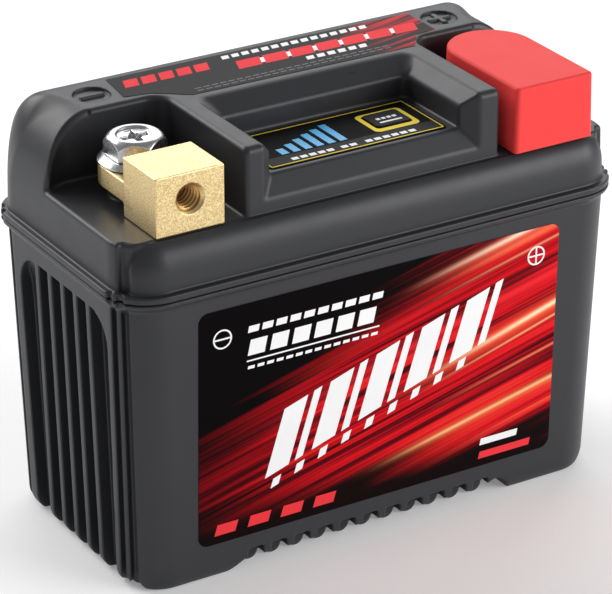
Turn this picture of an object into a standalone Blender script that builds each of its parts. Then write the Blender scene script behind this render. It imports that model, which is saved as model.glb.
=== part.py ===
"""Motorcycle battery: a small lithium starter battery, 107 mm long, 55 mm deep and 83 mm high.

Frame: origin at the middle of the underside, +X along the long front towards the positive
terminal, +Y towards the back, +Z up. Lengths below are in millimetres and become metres in mm().
"""
import math

import bmesh
import bpy

# ---- driving dimensions, millimetres ------------------------------------------------------
GAP = 0.3                # clearance between pieces that touch
SEAM_Z = 59.0            # where case and cover meet
TOP_Z = 82.7             # top of the cover's ridge
DECK_Z = 69.4            # level deck that the terminals stand on
FLANGE_X, FLANGE_Y = 53.5, 27.5      # half sizes over the flange
FLANGE_UNDER_Z = 55.0    # where the wall starts to slope out to the flange
FLANGE_TOP = 1.7         # height of the cover's part of the flange
WALL_X, WALL_Y = 52.0, 26.0          # half sizes of the wall at the seam
CORNER_R = 8.0
DRAFT = math.tan(math.radians(1.5))  # the case narrows towards its foot
FOOT_R = 3.0             # rounding round the underside
SHELL = 2.0              # wall thickness
DECK_T = 1.8

RIB_PITCH = 4.9          # upright ribs on both ends of the case
RIB_W = 1.5
RIB_DEPTH = 1.6
RIB_COUNT = 5
PANEL_HALF = 17.3        # half width of the ribbed panel
PANEL_TOP_Z = 54.0
PANEL_CORNER_R = 6.0

LOBE_PITCH = 4.85        # rounded runners under the case
LOBE_COUNT = 11
LOBE_MID_X = -2.15
LOBE_HEIGHT = 2.1
VALLEY_W = 2.4

COVER_LEAN = 0.4         # how far the cover's walls lean in
RIDGE_END_R = 9.6        # rounding of the ridge's two ends
RIDGE_BACK_R = 7.5
RIDGE_FRONT_Y = 7.3
SHOULDER_DEEP, SHOULDER_TALL = 3.6, 6.0   # the front shoulder's elliptical rounding
BAY_INNER_R, BAY_OUTER_R = 3.5, 6.0       # the bay's corners in plan
BAY_SWEEP = math.radians(26)              # where the outer corner meets the end wall
BLOCK_X = 26.7           # half length of the middle block
BLOCK_Y = -22.7          # its front face
TRAY_Z = 75.6            # floor of the gauge tray
TRAY_X = 20.0
TRAY_BACK_Y, TRAY_FRONT_Y = -2.1, -19.8
CHAMFER = 2.8
BACK_CHAMFER = 1.5       # the rear chamfer is flatter: depth for each millimetre of height
APRON_SLOPE = 1.256      # fall of the apron in front of the tray

TERMINAL_X = 37.9        # distance of each terminal from the middle
TERMINAL_FRONT_Y = -23.0
TERMINAL_W, TERMINAL_D = 13.5, 11.8
TERMINAL_Z0, TERMINAL_Z1 = DECK_Z + GAP, 81.1
TAB_Z0, TAB_Z1 = 72.7, 75.7
TAB_R = 6.2
SCREW_Y = -3.2
BOLT_HOLE_R = 2.95       # the M6 thread for the cable's bolt
BOLT_HOLE_Z = 76.0
BOLT_HOLE_DEPTH = 10.0
SCREW_SHANK_R = 2.4      # M5 terminal screw
SCREW_HOLE_R = 2.75
WASHER_R = 6.4
WASHER_T = 1.0
HEAD_R = 5.2             # across the hexagon's corners
HEAD_Z1 = 80.9
POST_R = 3.3
BOSS_R = 4.9
POST_FOOT_Z, POST_FOOT_R = 58.8, 5.0
POST_STEP_Z = 61.5
THREAD_Z0 = 64.0
SHANK_Z0 = 67.0
CROSS_LONG, CROSS_SHORT, CROSS_DEEP = 2.3, 0.55, 1.6

CAP_Z0, CAP_Z1 = 69.85, 82.7
CAP_FRONT_Y = -24.7
CAP_HALF_W = 8.45
CAP_BACK_Y = -3.7        # centre of the cap's round end
CAP_WALL = 1.0

OVERLAY_X = 18.2
OVERLAY_Y0, OVERLAY_Y1 = -19.0, -4.3
OVERLAY_Z0, OVERLAY_Z1 = TRAY_Z - 0.25, TRAY_Z + 0.15
BAR_W = 1.5              # the six windows of the charge gauge
BAR_PITCH = 2.45
BAR_FIRST_X = -13.2
BAR_FRONT_Y = -14.1
BAR_LENGTHS = (2.5, 3.7, 4.9, 6.1, 7.1, 8.1)
BAR_FOOT_Z = 72.8
BUTTON_X0, BUTTON_X1 = 7.1, 14.5
BUTTON_Y0, BUTTON_Y1 = -12.9, -6.9
BUTTON_Z0, BUTTON_PROUD = 75.0, 0.35
BUTTON_CLEAR = 0.25
PLUNGER_R, PLUNGER_Z0, PLUNGER_Z1 = 1.5, 72.6, 74.7
SWITCH_Z1, SWITCH_WELL_Z = 73.8, 71.9
GAUGE_BOARD_Z0, GAUGE_BOARD_Z1 = 70.2, 71.2
SOLDER_GAP = 0.15        # clearance between the board and what stands on it

LABEL_X0, LABEL_X1 = -39.2, 38.6
LABEL_Z0, LABEL_Z1 = 7.6, 54.6
LABEL_T = 0.4
LABEL_SEAT = 0.5         # depth of the recess the front label lies in
TOP_LABEL_X0, TOP_LABEL_X1 = -33.3, 33.4
TOP_LABEL_Y0, TOP_LABEL_Y1 = 8.6, 17.4
TOP_LABEL_LIFT, TOP_LABEL_T = 0.12, 0.25

CELL_COUNT = 4
CELL_L, CELL_T, CELL_H = 88.0, 9.4, 44.0
CELL_Z0 = 6.5
SPACER_T = 1.2
TAB_X = 30.0
TAB_W, TAB_T = 12.0, 0.8
TAB_TOP_Z = 55.4
OUTER_TAB_EXTRA = 1.3    # the two end cells' tabs are taller, to reach the straps
LINK_T = 0.8
STRAP_T = 1.2
BOARD_T = 1.6
PAD_T = 0.8

PAST = 1.0               # how far a cutter runs past what it cuts
FAR_Z = 95.0             # well above the battery

COLOURS = {
    "case_black": ((0.055, 0.056, 0.060), 0.42, 0.0),
    "label_red": ((0.40, 0.01, 0.02), 0.25, 0.0),
    "overlay_black": ((0.008, 0.008, 0.010), 0.15, 0.0),
    "button_black": ((0.012, 0.012, 0.014), 0.25, 0.0),
    "bar_blue": ((0.05, 0.38, 0.80), 0.25, 0.0),
    "led_white": ((0.85, 0.85, 0.80), 0.35, 0.0),
    "board_green": ((0.02, 0.18, 0.07), 0.40, 0.0),
    "switch_black": ((0.03, 0.03, 0.03), 0.45, 0.0),
    "brass": ((0.80, 0.58, 0.26), 0.35, 1.0),
    "chrome": ((0.80, 0.80, 0.82), 0.10, 1.0),
    "cap_red": ((0.80, 0.06, 0.05), 0.35, 0.0),
    "cell_foil": ((0.62, 0.64, 0.67), 0.30, 1.0),
    "foam_grey": ((0.16, 0.16, 0.17), 0.90, 0.0),
    "copper": ((0.72, 0.36, 0.20), 0.30, 1.0),
    "ribbon_grey": ((0.35, 0.36, 0.38), 0.50, 0.0),
}


def mm(value):
    """Millimetres to metres."""
    return value * 0.001


# ---- scene helpers ------------------------------------------------------------------------
def clear_scene():
    for thing in list(bpy.data.objects):
        bpy.data.objects.remove(thing, do_unlink=True)


def material(slot):
    """The Principled material of one slot, made the first time it is asked for."""
    found = bpy.data.materials.get(slot)
    if found:
        return found
    colour, roughness, metallic = COLOURS[slot]
    made = bpy.data.materials.new(slot)
    made.use_nodes = True
    shader = made.node_tree.nodes["Principled BSDF"]
    shader.inputs["Base Color"].default_value = (*colour, 1.0)
    shader.inputs["Roughness"].default_value = roughness
    shader.inputs["Metallic"].default_value = metallic
    made.diffuse_color = (*colour, 1.0)
    return made


def finish_mesh(name, bm, slot, origin=(0.0, 0.0, 0.0)):
    """Turn a bmesh drawn in millimetres into a named object whose origin is at `origin`."""
    bmesh.ops.recalc_face_normals(bm, faces=bm.faces)
    for vertex in bm.verts:
        vertex.co = [mm(c - o) for c, o in zip(vertex.co, origin)]
    mesh = bpy.data.meshes.new(name)
    bm.to_mesh(mesh)
    bm.free()
    mesh.shade_smooth()
    mesh.set_sharp_from_angle(angle=math.radians(35))
    thing = bpy.data.objects.new(name, mesh)
    thing.location = [mm(o) for o in origin]
    bpy.context.scene.collection.objects.link(thing)
    if slot:
        mesh.materials.append(material(slot))
    else:
        thing.hide_render = True
        thing.display_type = "WIRE"
    return thing


def combine(thing, tool, operation):
    """Add a Boolean that unites `tool` with `thing`, or cuts it away."""
    boolean = thing.modifiers.new(operation.lower() + "_" + tool.name, "BOOLEAN")
    boolean.operation = operation
    boolean.object = tool
    tool.hide_render = True
    tool.display_type = "WIRE"


def cut(thing, tool):
    combine(thing, tool, "DIFFERENCE")


def unite(thing, tool):
    combine(thing, tool, "UNION")


# ---- outlines -----------------------------------------------------------------------------
def arc(centre_a, centre_b, radius, start, end, steps):
    """Points on an arc in any two axes, angles in degrees."""
    points = []
    for i in range(steps + 1):
        angle = math.radians(start + (end - start) * i / steps)
        points.append((centre_a + radius * math.cos(angle), centre_b + radius * math.sin(angle)))
    return points


def circle(centre_a, centre_b, radius, steps=20):
    """A closed circle, without its first point repeated."""
    return arc(centre_a, centre_b, radius, 0, 360, steps)[:-1]


def rounded_rect(x0, x1, y0, y1, radius, steps=4):
    """A rectangle with round corners, anticlockwise from its lower right corner."""
    r = min(radius, (x1 - x0) / 2 - 0.01, (y1 - y0) / 2 - 0.01)
    return (arc(x1 - r, y0 + r, r, -90, 0, steps) + arc(x1 - r, y1 - r, r, 0, 90, steps)
            + arc(x0 + r, y1 - r, r, 90, 180, steps) + arc(x0 + r, y0 + r, r, 180, 270, steps))


def even_rect(half_x, half_y, radius, steps=4):
    return rounded_rect(-half_x, half_x, -half_y, half_y, radius, steps)


# ---- solids -------------------------------------------------------------------------------
def loft(name, rings, slot, origin=(0.0, 0.0, 0.0)):
    """Join closed rings of 3-D points in order and cap the first and the last."""
    bm = bmesh.new()
    loops = [[bm.verts.new(point) for point in ring] for ring in rings]
    count = len(rings[0])
    for lower, upper in zip(loops, loops[1:]):
        for i in range(count):
            j = (i + 1) % count
            bm.faces.new((lower[i], lower[j], upper[j], upper[i]))
    bm.faces.new(list(reversed(loops[0])))
    bm.faces.new(loops[-1])
    return finish_mesh(name, bm, slot, origin)


def at_z(outline, z):
    return [(x, y, z) for x, y in outline]


def plate(name, outline, z0, z1, slot, origin=(0.0, 0.0, 0.0)):
    """A flat outline in X and Y with thickness from z0 to z1."""
    return loft(name, [at_z(outline, z0), at_z(outline, z1)], slot, origin)


def box(name, low, high, slot, edge=0.0, origin=(0.0, 0.0, 0.0)):
    """A box between two corners, its upright edges rounded by `edge`."""
    if edge:
        outline = rounded_rect(low[0], high[0], low[1], high[1], edge, 3)
    else:
        outline = [(low[0], low[1]), (high[0], low[1]), (high[0], high[1]), (low[0], high[1])]
    return plate(name, outline, low[2], high[2], slot, origin)


def turned(name, profile, x, y, slot, steps=20, origin=(0.0, 0.0, 0.0)):
    """A round solid about the upright axis through (x, y); the profile lists (radius, z)."""
    rings = [at_z(circle(x, y, radius, steps), z) for radius, z in profile]
    return loft(name, rings, slot, origin)


def prism_x(name, outline_yz, x0, x1, slot=None):
    """An outline in Y and Z drawn out along X."""
    rings = [[(x0, y, z) for y, z in outline_yz], [(x1, y, z) for y, z in outline_yz]]
    return loft(name, rings, slot)


# ---- case ---------------------------------------------------------------------------------
def case_wall(z):
    """How far the case wall has drawn in at height z, below the seam."""
    return (SEAM_Z - z) * DRAFT


def case_ring(z, inset=0.0, radius=CORNER_R):
    draw = case_wall(z) + inset
    return at_z(even_rect(WALL_X - draw, WALL_Y - draw, radius), z)


def make_case():
    """The lower shell: a drafted tub with a flange, ribbed ends, a toothed foot and a label recess."""
    lip = FLANGE_X - WALL_X
    rim_z = SEAM_Z - GAP / 2
    rings = []
    for angle in (0, 30, 60, 90):
        turn = math.radians(angle)
        rings.append(case_ring(FOOT_R * (1 - math.cos(turn)), FOOT_R * (1 - math.sin(turn))))
    rings.append(case_ring(FLANGE_UNDER_Z))
    rings.append(case_ring(FLANGE_UNDER_Z + 1.6, -lip, CORNER_R + lip))
    rings.append(case_ring(rim_z, -lip, CORNER_R + lip))
    end_wall = RIB_DEPTH + SHELL
    for z in (rim_z, LOBE_HEIGHT + SHELL):
        draw = case_wall(z)
        inner = even_rect(WALL_X - end_wall - draw, WALL_Y - SHELL - draw, CORNER_R - SHELL)
        rings.append(at_z(inner, z))
    case = loft("case", rings, "case_black")
    for side in (-1, 1):
        for number, slot_outline in enumerate(rib_slots()):
            cut(case, rib_cutter(side, number, slot_outline))
    for number in range(LOBE_COUNT + 1):
        cut(case, valley_cutter(number))
    cut(case, label_seat())
    return case


def rib_slots():
    """The six grooves between and beside the ribs, as outlines in Y and Z."""
    edge = RIB_PITCH * (RIB_COUNT - 1) / 2 + RIB_W / 2
    bottom = -1.0
    r = PANEL_CORNER_R
    left = [(-edge, bottom), (-edge, PANEL_TOP_Z)]
    left += arc(-PANEL_HALF + r, PANEL_TOP_Z - r, r, 90, 180, 4) + [(-PANEL_HALF, bottom)]
    outlines = [left, [(-y, z) for y, z in reversed(left)]]
    for i in range(RIB_COUNT - 1):
        low = -edge + RIB_W + i * RIB_PITCH
        high = low + RIB_PITCH - RIB_W
        outlines.append([(low, bottom), (high, bottom), (high, PANEL_TOP_Z), (low, PANEL_TOP_Z)])
    return outlines


def rib_cutter(side, number, outline):
    """A groove cutter whose floor follows the drafted wall."""
    rings = []
    for depth in (RIB_DEPTH, -4.0):
        rings.append([(side * (WALL_X - case_wall(z) - depth), y, z) for y, z in outline])
    return loft("groove_%s_%d" % ("left" if side < 0 else "right", number), rings, None)


def valley_cutter(number):
    """The hollow between two runners, widening towards the ground."""
    x = LOBE_MID_X + (number - LOBE_COUNT / 2) * LOBE_PITCH
    wide, narrow = VALLEY_W / 2, VALLEY_W / 5
    outline = [(x - wide, -1.0), (x + wide, -1.0), (x + narrow, LOBE_HEIGHT), (x - narrow, LOBE_HEIGHT)]
    rings = [[(a, y, b) for a, b in outline] for y in (-40.0, 40.0)]
    return loft("valley_%d" % number, rings, None)


def front_face_y(z):
    return -(WALL_Y - case_wall(z))


def label_slab(name, margin, back, front, slot):
    """A slab that lies along the sloping front face; back and front are depths into it."""
    outline = rounded_rect(LABEL_X0 - margin, LABEL_X1 + margin, LABEL_Z0 - margin, LABEL_Z1 + margin, 1.5, 3)
    rings = [[(x, front_face_y(z) + depth, z) for x, z in outline] for depth in (front, back)]
    return loft(name, rings, slot)


def label_seat():
    return label_slab("label_seat", 0.2, LABEL_SEAT, -PAST, None)


# ---- cover --------------------------------------------------------------------------------
def cover_ring(z, xh, y_front, y_back, radius):
    return at_z(rounded_rect(-xh, xh, y_front, y_back, radius), z)


def make_cover():
    """The upper shell: a rounded ridge along the back, a middle block and two open bays."""
    lip = FLANGE_X - WALL_X
    foot_z = SEAM_Z + GAP / 2
    back = WALL_Y - 1.5 * COVER_LEAN
    rings = [
        cover_ring(foot_z, FLANGE_X, -FLANGE_Y, FLANGE_Y, CORNER_R + lip),
        cover_ring(foot_z + FLANGE_TOP, FLANGE_X, -FLANGE_Y, FLANGE_Y, CORNER_R + lip),
        cover_ring(foot_z + FLANGE_TOP + 0.3, WALL_X, -WALL_Y, WALL_Y, CORNER_R),
        cover_ring(TOP_Z - RIDGE_END_R, WALL_X - COVER_LEAN, COVER_LEAN - WALL_Y, back, CORNER_R),
    ]
    for angle in (22.5, 45, 60, 75, 90):
        turn = math.radians(angle)
        z = TOP_Z - RIDGE_END_R * (1 - math.sin(turn))
        xh = WALL_X - COVER_LEAN - RIDGE_END_R * (1 - math.cos(turn))
        rise = max(0.0, z - (TOP_Z - RIDGE_BACK_R))
        drop = RIDGE_BACK_R - math.sqrt(RIDGE_BACK_R ** 2 - rise ** 2)
        rings.append(cover_ring(z, xh, COVER_LEAN - WALL_Y, back - drop, CORNER_R))
    cover = loft("cover", rings, "case_black")
    cut(cover, shoulder_cutter())
    for side in (-1, 1):
        cut(cover, bay_cutter(side))
    for tool in cavity_cutters():
        cut(cover, tool)
    for side in (-1, 1):
        x, name = side * TERMINAL_X, "boss_" + end_name(side)
        boss_profile = [(BOSS_R, DECK_Z - DECK_T - PAST), (BOSS_R, TAB_Z0 - GAP)]
        hole_profile = [(POST_R + GAP, SEAM_Z), (POST_R + GAP, TAB_Z0 + PAST)]
        unite(cover, turned(name, boss_profile, x, SCREW_Y, None))
        cut(cover, turned(name + "_hole", hole_profile, x, SCREW_Y, None))
    for tool in tray_cutters():
        cut(cover, tool)
    return cover


def end_name(side):
    return "negative" if side < 0 else "positive"


def shoulder_cutter():
    """Everything in front of the middle block and above the big round shoulder."""
    centre_y, centre_z = SHOULDER_DEEP - WALL_Y, DECK_Z - SHOULDER_TALL
    far_y, far_x = -FLANGE_Y - 10.0, FLANGE_X + 5.0
    outline = [(far_y, centre_z - 2.0), (-WALL_Y - PAST, centre_z - 2.0)]
    for a, b in arc(0.0, 0.0, 1.0, 180, 90, 6):
        outline.append((centre_y + SHOULDER_DEEP * a, centre_z + SHOULDER_TALL * b))
    outline += [(BLOCK_Y, DECK_Z), (BLOCK_Y, FAR_Z), (far_y, FAR_Z)]
    outline = [point for point in outline if point[0] <= BLOCK_Y + 0.01]
    return prism_x("shoulder_cutter", outline, -far_x, far_x)


def bay_cutter(side):
    """The bay over the deck that one terminal stands in, open to the front and the end."""
    inner, back, r = BLOCK_X, RIDGE_FRONT_Y, BAY_INNER_R
    far_x, far_y = FLANGE_X + 5.0, -FLANGE_Y - 10.0
    sweep_x, sweep_y = WALL_X - BAY_OUTER_R, back - BAY_OUTER_R
    mouth_y = sweep_y + BAY_OUTER_R * math.sin(BAY_SWEEP)
    outline = [(inner, far_y), (far_x, far_y), (far_x, mouth_y), (WALL_X, mouth_y)]
    outline += arc(sweep_x, sweep_y, BAY_OUTER_R, math.degrees(BAY_SWEEP), 90, 4)
    outline += arc(inner + r, back - r, r, 90, 180, 3)
    if side < 0:
        outline = [(-x, y) for x, y in reversed(outline)]
    return plate("bay_%s" % end_name(side), outline, DECK_Z, FAR_Z, None)


def cavity_cutters():
    """The hollow under the cover: a wide low one, one in the ridge and one in the block."""
    floor_z = DECK_Z - DECK_T
    wide = [at_z(even_rect(WALL_X - SHELL - 0.2, WALL_Y - SHELL - 0.2, CORNER_R - SHELL), z)
            for z in (SEAM_Z - PAST, DECK_Z - SHOULDER_TALL)]
    wide.append(at_z(rounded_rect(0.4 + SHELL - WALL_X, WALL_X - SHELL - 0.4, -21.0, 23.9, 5.5), floor_z))
    half_x, near_y = WALL_X - 2 * SHELL, RIDGE_FRONT_Y + SHELL
    ridge = [at_z(rounded_rect(-half_x, half_x, near_y, 23.6, 4.0), floor_z - PAST),
             at_z(rounded_rect(-half_x, half_x, near_y, 23.4, 4.0), TOP_Z - RIDGE_END_R),
             at_z(rounded_rect(7.0 - half_x, half_x - 7.0, near_y, 19.0, 3.0), TOP_Z - SHELL)]
    block_x, block_y = BLOCK_X - SHELL, BLOCK_Y + SHELL + 0.2
    block = [at_z(rounded_rect(-block_x, block_x, block_y, RIDGE_FRONT_Y + 2 * SHELL, 1.5), z)
             for z in (floor_z - PAST, TRAY_Z - 3.7)]
    gauge_x, gauge_y0, gauge_y1 = TRAY_X - 1.4, TRAY_FRONT_Y + 0.4, TRAY_BACK_Y - 0.5
    gauge = [at_z(rounded_rect(-gauge_x, gauge_x, gauge_y0, gauge_y1, 1.0), z) for z in (70.0, TRAY_Z - 1.5)]
    return [loft("hollow_wide", wide, None), loft("hollow_ridge", ridge, None),
            loft("hollow_block", block, None), loft("hollow_gauge", gauge, None)]


def tray_cutters():
    """The gauge tray: a sunk floor with chamfered rims, open to the front over a sloping apron."""
    reach = 3.0
    rings = []
    for z, spread in ((TRAY_Z, 0.0), (TOP_Z - CHAMFER, 0.0), (TOP_Z + reach, CHAMFER + reach)):
        x, back = TRAY_X + spread, TRAY_BACK_Y + spread * BACK_CHAMFER
        rings.append([(-x, -40.0, z), (x, -40.0, z), (x, back, z), (-x, back, z)])
    basin = loft("tray_basin", rings, None)
    mouth = []
    for y, spread in ((TRAY_FRONT_Y, 0.0), (BLOCK_Y - PAST, TRAY_FRONT_Y - BLOCK_Y + PAST)):
        x, z = TRAY_X + spread, TRAY_Z - spread * APRON_SLOPE
        mouth.append([(-x, y, z), (x, y, z), (x, y, FAR_Z), (-x, y, FAR_Z)])
    apron = loft("tray_mouth", mouth, None)
    above_z = TRAY_Z + 2.0
    seat = plate("overlay_seat", overlay_outline(GAP, 0.8), OVERLAY_Z0 - SOLDER_GAP, above_z, None)
    window = plate("gauge_window", rounded_rect(-15.0, 16.4, -15.4, -5.2, 0.8, 2), 70.0, above_z, None)
    return [basin, apron, seat, window]


def overlay_outline(margin, radius):
    """The gauge film's outline, grown by a margin."""
    x = OVERLAY_X + margin
    return rounded_rect(-x, x, OVERLAY_Y0 - margin, OVERLAY_Y1 + margin, radius, 2)


# ---- terminals ----------------------------------------------------------------------------
def make_terminal(side):
    """A brass block with the threaded cable hole in front and a drilled tab behind."""
    x = side * TERMINAL_X
    half = TERMINAL_W / 2
    back_y = TERMINAL_FRONT_Y + TERMINAL_D
    name = end_name(side) + "_terminal"
    block = box(name, (x - half, TERMINAL_FRONT_Y, TERMINAL_Z0), (x + half, back_y, TERMINAL_Z1),
                "brass", 0.35)
    outline = [(x - TAB_R, back_y - 2.0), (x + TAB_R, back_y - 2.0)] + arc(x, SCREW_Y, TAB_R, 0, 180, 10)
    unite(block, plate(name + "_tab", outline, TAB_Z0, TAB_Z1, None))
    cut(block, turned(name + "_screw_hole", [(SCREW_HOLE_R, TAB_Z0 - 2), (SCREW_HOLE_R, TAB_Z1 + 2)],
                      x, SCREW_Y, None))
    rings = []
    for y, radius in ((TERMINAL_FRONT_Y - 1.0, BOLT_HOLE_R + 1.3), (TERMINAL_FRONT_Y + 0.3, BOLT_HOLE_R),
                      (TERMINAL_FRONT_Y + BOLT_HOLE_DEPTH, BOLT_HOLE_R)):
        rings.append([(a, y, b) for a, b in circle(x, BOLT_HOLE_Z, radius)])
    cut(block, loft(name + "_bolt_hole", rings, None))


def make_washer(side):
    """The captive conical washer that rises with its screw."""
    x = side * TERMINAL_X
    name = end_name(side) + "_washer"
    z0 = TAB_Z1 + GAP
    origin = (x, SCREW_Y, z0)
    washer = turned(name, [(WASHER_R, z0), (WASHER_R, z0 + 0.3), (HEAD_R + 0.1, z0 + WASHER_T)],
                    x, SCREW_Y, "chrome", 24, origin)
    cut(washer, turned(name + "_hole", [(SCREW_HOLE_R, z0 - 1), (SCREW_HOLE_R, z0 + 3)], x, SCREW_Y, None))


def make_screw(side):
    """Hexagon head with a cross recess, and a plain shank of the thread's outer size."""
    x = side * TERMINAL_X
    name = end_name(side) + "_screw"
    z0 = TAB_Z1 + WASHER_T + 2 * GAP
    origin = (x, SCREW_Y, z0)
    profile = [(HEAD_R * 0.93, z0), (HEAD_R, z0 + 0.5), (HEAD_R, HEAD_Z1 - 1.0), (HEAD_R * 0.80, HEAD_Z1)]
    head = turned(name, profile, x, SCREW_Y, "chrome", 6, origin)
    shank_profile = [(SCREW_SHANK_R, SHANK_Z0), (SCREW_SHANK_R, z0 + PAST)]
    unite(head, turned(name + "_shank", shank_profile, x, SCREW_Y, None))
    for number, (a, b) in enumerate(((CROSS_LONG, CROSS_SHORT), (CROSS_SHORT, CROSS_LONG))):
        cut(head, box("%s_cross_%d" % (name, number), (x - a, SCREW_Y - b, HEAD_Z1 - CROSS_DEEP),
                      (x + a, SCREW_Y + b, HEAD_Z1 + PAST), None))


def make_post(side):
    """The brass insert that the screw threads into; its foot stands on the cell strap."""
    x = side * TERMINAL_X
    name = end_name(side) + "_post"
    top_z = TAB_Z0 - GAP
    profile = [(POST_FOOT_R, POST_FOOT_Z), (POST_FOOT_R, POST_STEP_Z), (POST_R, POST_STEP_Z), (POST_R, top_z)]
    post = turned(name, profile, x, SCREW_Y, "brass")
    thread_profile = [(SCREW_HOLE_R, THREAD_Z0), (SCREW_HOLE_R, top_z + PAST)]
    cut(post, turned(name + "_thread", thread_profile, x, SCREW_Y, None))


def cap_outline(grow):
    """The cap in plan: square at the front and round at the back."""
    x, half = TERMINAL_X, CAP_HALF_W + grow
    front = CAP_FRONT_Y - grow
    return ([(x - half + 0.8, front), (x + half - 0.8, front), (x + half, front + 0.8)]
            + arc(x, CAP_BACK_Y, half, 0, 180, 12) + [(x - half, front + 0.8)])


def make_cap():
    """The red cap over the positive terminal, a thin cup open downwards."""
    rings = [at_z(cap_outline(0.0), CAP_Z0), at_z(cap_outline(-0.05), CAP_Z1 - 0.9),
             at_z(cap_outline(-0.9), CAP_Z1)]
    cap = loft("positive_cap", rings, "cap_red", (TERMINAL_X, CAP_BACK_Y, CAP_Z0))
    cut(cap, plate("cap_hollow", cap_outline(-CAP_WALL), CAP_Z0 - PAST, CAP_Z1 - CAP_WALL, None))


# ---- state-of-charge gauge ----------------------------------------------------------------

def bar_box(index, margin=0.0):
    x = BAR_FIRST_X + index * BAR_PITCH
    return ((x - BAR_W / 2 - margin, BAR_FRONT_Y - margin),
            (x + BAR_W / 2 + margin, BAR_FRONT_Y + BAR_LENGTHS[index] + margin))


def make_gauge():
    """The film, its light pipes and lights, and the board that hangs on two screws."""
    overlay = plate("gauge_overlay", overlay_outline(0.0, 0.5), OVERLAY_Z0, OVERLAY_Z1, "overlay_black")
    for index in range(len(BAR_LENGTHS)):
        (x0, y0), (x1, y1) = bar_box(index, SOLDER_GAP)
        cut(overlay, box("bar_hole_%d" % (index + 1), (x0, y0, TRAY_Z - 2), (x1, y1, TRAY_Z + 2), None))
    cut(overlay, box("button_hole", (BUTTON_X0 - BUTTON_CLEAR, BUTTON_Y0 - BUTTON_CLEAR, TRAY_Z - 2),
                     (BUTTON_X1 + BUTTON_CLEAR, BUTTON_Y1 + BUTTON_CLEAR, TRAY_Z + 2), None, 0.8))
    for index in range(len(BAR_LENGTHS)):
        (x0, y0), (x1, y1) = bar_box(index)
        box("charge_bar_%d" % (index + 1), (x0, y0, BAR_FOOT_Z), (x1, y1, OVERLAY_Z1), "bar_blue")
        x, y = (x0 + x1) / 2, BAR_FRONT_Y + BAR_LENGTHS[0] / 2
        box("charge_led_%d" % (index + 1), (x - 0.7, y - 0.5, GAUGE_BOARD_Z1 + SOLDER_GAP),
            (x + 0.7, y + 0.5, BAR_FOOT_Z - 0.2), "led_white")
    board = plate("gauge_board", rounded_rect(-17.6, 17.6, -18.4, -3.6, 0.8, 2),
                  GAUGE_BOARD_Z0, GAUGE_BOARD_Z1, "board_green")
    for side in (-1, 1):
        x, y = side * 16.9, -15.8 + 9.6 * (side > 0)
        name = "gauge_screw_%s" % ("left" if side < 0 else "right")
        hole_profile = [(0.8, GAUGE_BOARD_Z0 - PAST), (0.8, GAUGE_BOARD_Z1 + PAST)]
        cut(board, turned(name + "_hole", hole_profile, x, y, None, 12))
        head_z = GAUGE_BOARD_Z0 - SOLDER_GAP
        turned(name, [(1.3, head_z - 1.0), (1.3, head_z), (0.55, head_z), (0.55, head_z + 3.4)],
               x, y, "chrome", 12)


def make_button():
    """The key, its switch's plunger under it, and the switch body on the board."""
    x = (BUTTON_X0 + BUTTON_X1) / 2
    y = (BUTTON_Y0 + BUTTON_Y1) / 2
    origin = (x, y, OVERLAY_Z1)
    box("test_button", (BUTTON_X0, BUTTON_Y0, BUTTON_Z0), (BUTTON_X1, BUTTON_Y1, OVERLAY_Z1 + BUTTON_PROUD),
        "button_black", 0.7, origin)
    turned("switch_plunger", [(PLUNGER_R, PLUNGER_Z0), (PLUNGER_R, PLUNGER_Z1)], x, y, "switch_black", 16,
           (x, y, PLUNGER_Z1))
    switch = box("test_switch", (x - 3.0, y - 2.9, GAUGE_BOARD_Z1 + SOLDER_GAP),
                 (x + 3.0, y + 2.9, SWITCH_Z1), "switch_black", 0.4)
    well_profile = [(PLUNGER_R + GAP, SWITCH_WELL_Z), (PLUNGER_R + GAP, SWITCH_Z1 + PAST)]
    cut(switch, turned("switch_well", well_profile, x, y, None, 16))


# ---- cells and wiring ---------------------------------------------------------------------
def cell_y(index):
    """Middle of one cell, counted from the front."""
    pitch = CELL_T + SPACER_T + 2 * GAP
    return (index - (CELL_COUNT - 1) / 2) * pitch


def make_cells():
    """Four flat cells in a row, their foam, and the strips that join them in series."""
    top_z = CELL_Z0 + CELL_H
    half_l, half_t = CELL_L / 2, CELL_T / 2
    for index in range(CELL_COUNT):
        y = cell_y(index)
        name = "cell_%d" % (index + 1)
        cell = box(name, (-half_l, y - half_t, CELL_Z0), (half_l, y + half_t, top_z), "cell_foil", 2.0)
        for side in (-1, 1):
            outer_end = side < 0 and index in (0, CELL_COUNT - 1)
            tab_top = TAB_TOP_Z + (OUTER_TAB_EXTRA if outer_end else 0.0)
            x = side * TAB_X
            unite(cell, box("%s_tab_%d" % (name, side), (x - TAB_W / 2, y - TAB_T / 2, top_z - 1.0),
                            (x + TAB_W / 2, y + TAB_T / 2, tab_top), None))
        if index:
            middle = (cell_y(index - 1) + y) / 2
            box("cell_spacer_%d" % index, (-43.0, middle - SPACER_T / 2, CELL_Z0),
                (43.0, middle + SPACER_T / 2, top_z), "foam_grey")
            side = 1 if index % 2 else -1
            reach = SPACER_T / 2 + CELL_T / 2 + GAP + 1.5
            x = side * TAB_X
            outline = rounded_rect(x - 6.5, x + 6.5, middle - reach, middle + reach, 1.0, 2)
            plate("cell_link_%d" % index, outline, TAB_TOP_Z + GAP, TAB_TOP_Z + GAP + LINK_T, "copper")
    box("base_pad", (-42.0, -19.0, LOBE_HEIGHT + SHELL + GAP), (42.0, 19.0, CELL_Z0 - GAP), "foam_grey", 2.0)
    pad_y = cell_y(CELL_COUNT - 1) + half_t + GAP
    for side, name in ((-1, "front_pad"), (1, "back_pad")):
        ends = sorted((side * pad_y, side * (pad_y + PAD_T)))
        box(name, (-38.0, ends[0], CELL_Z0), (38.0, ends[1], top_z), "foam_grey")


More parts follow.
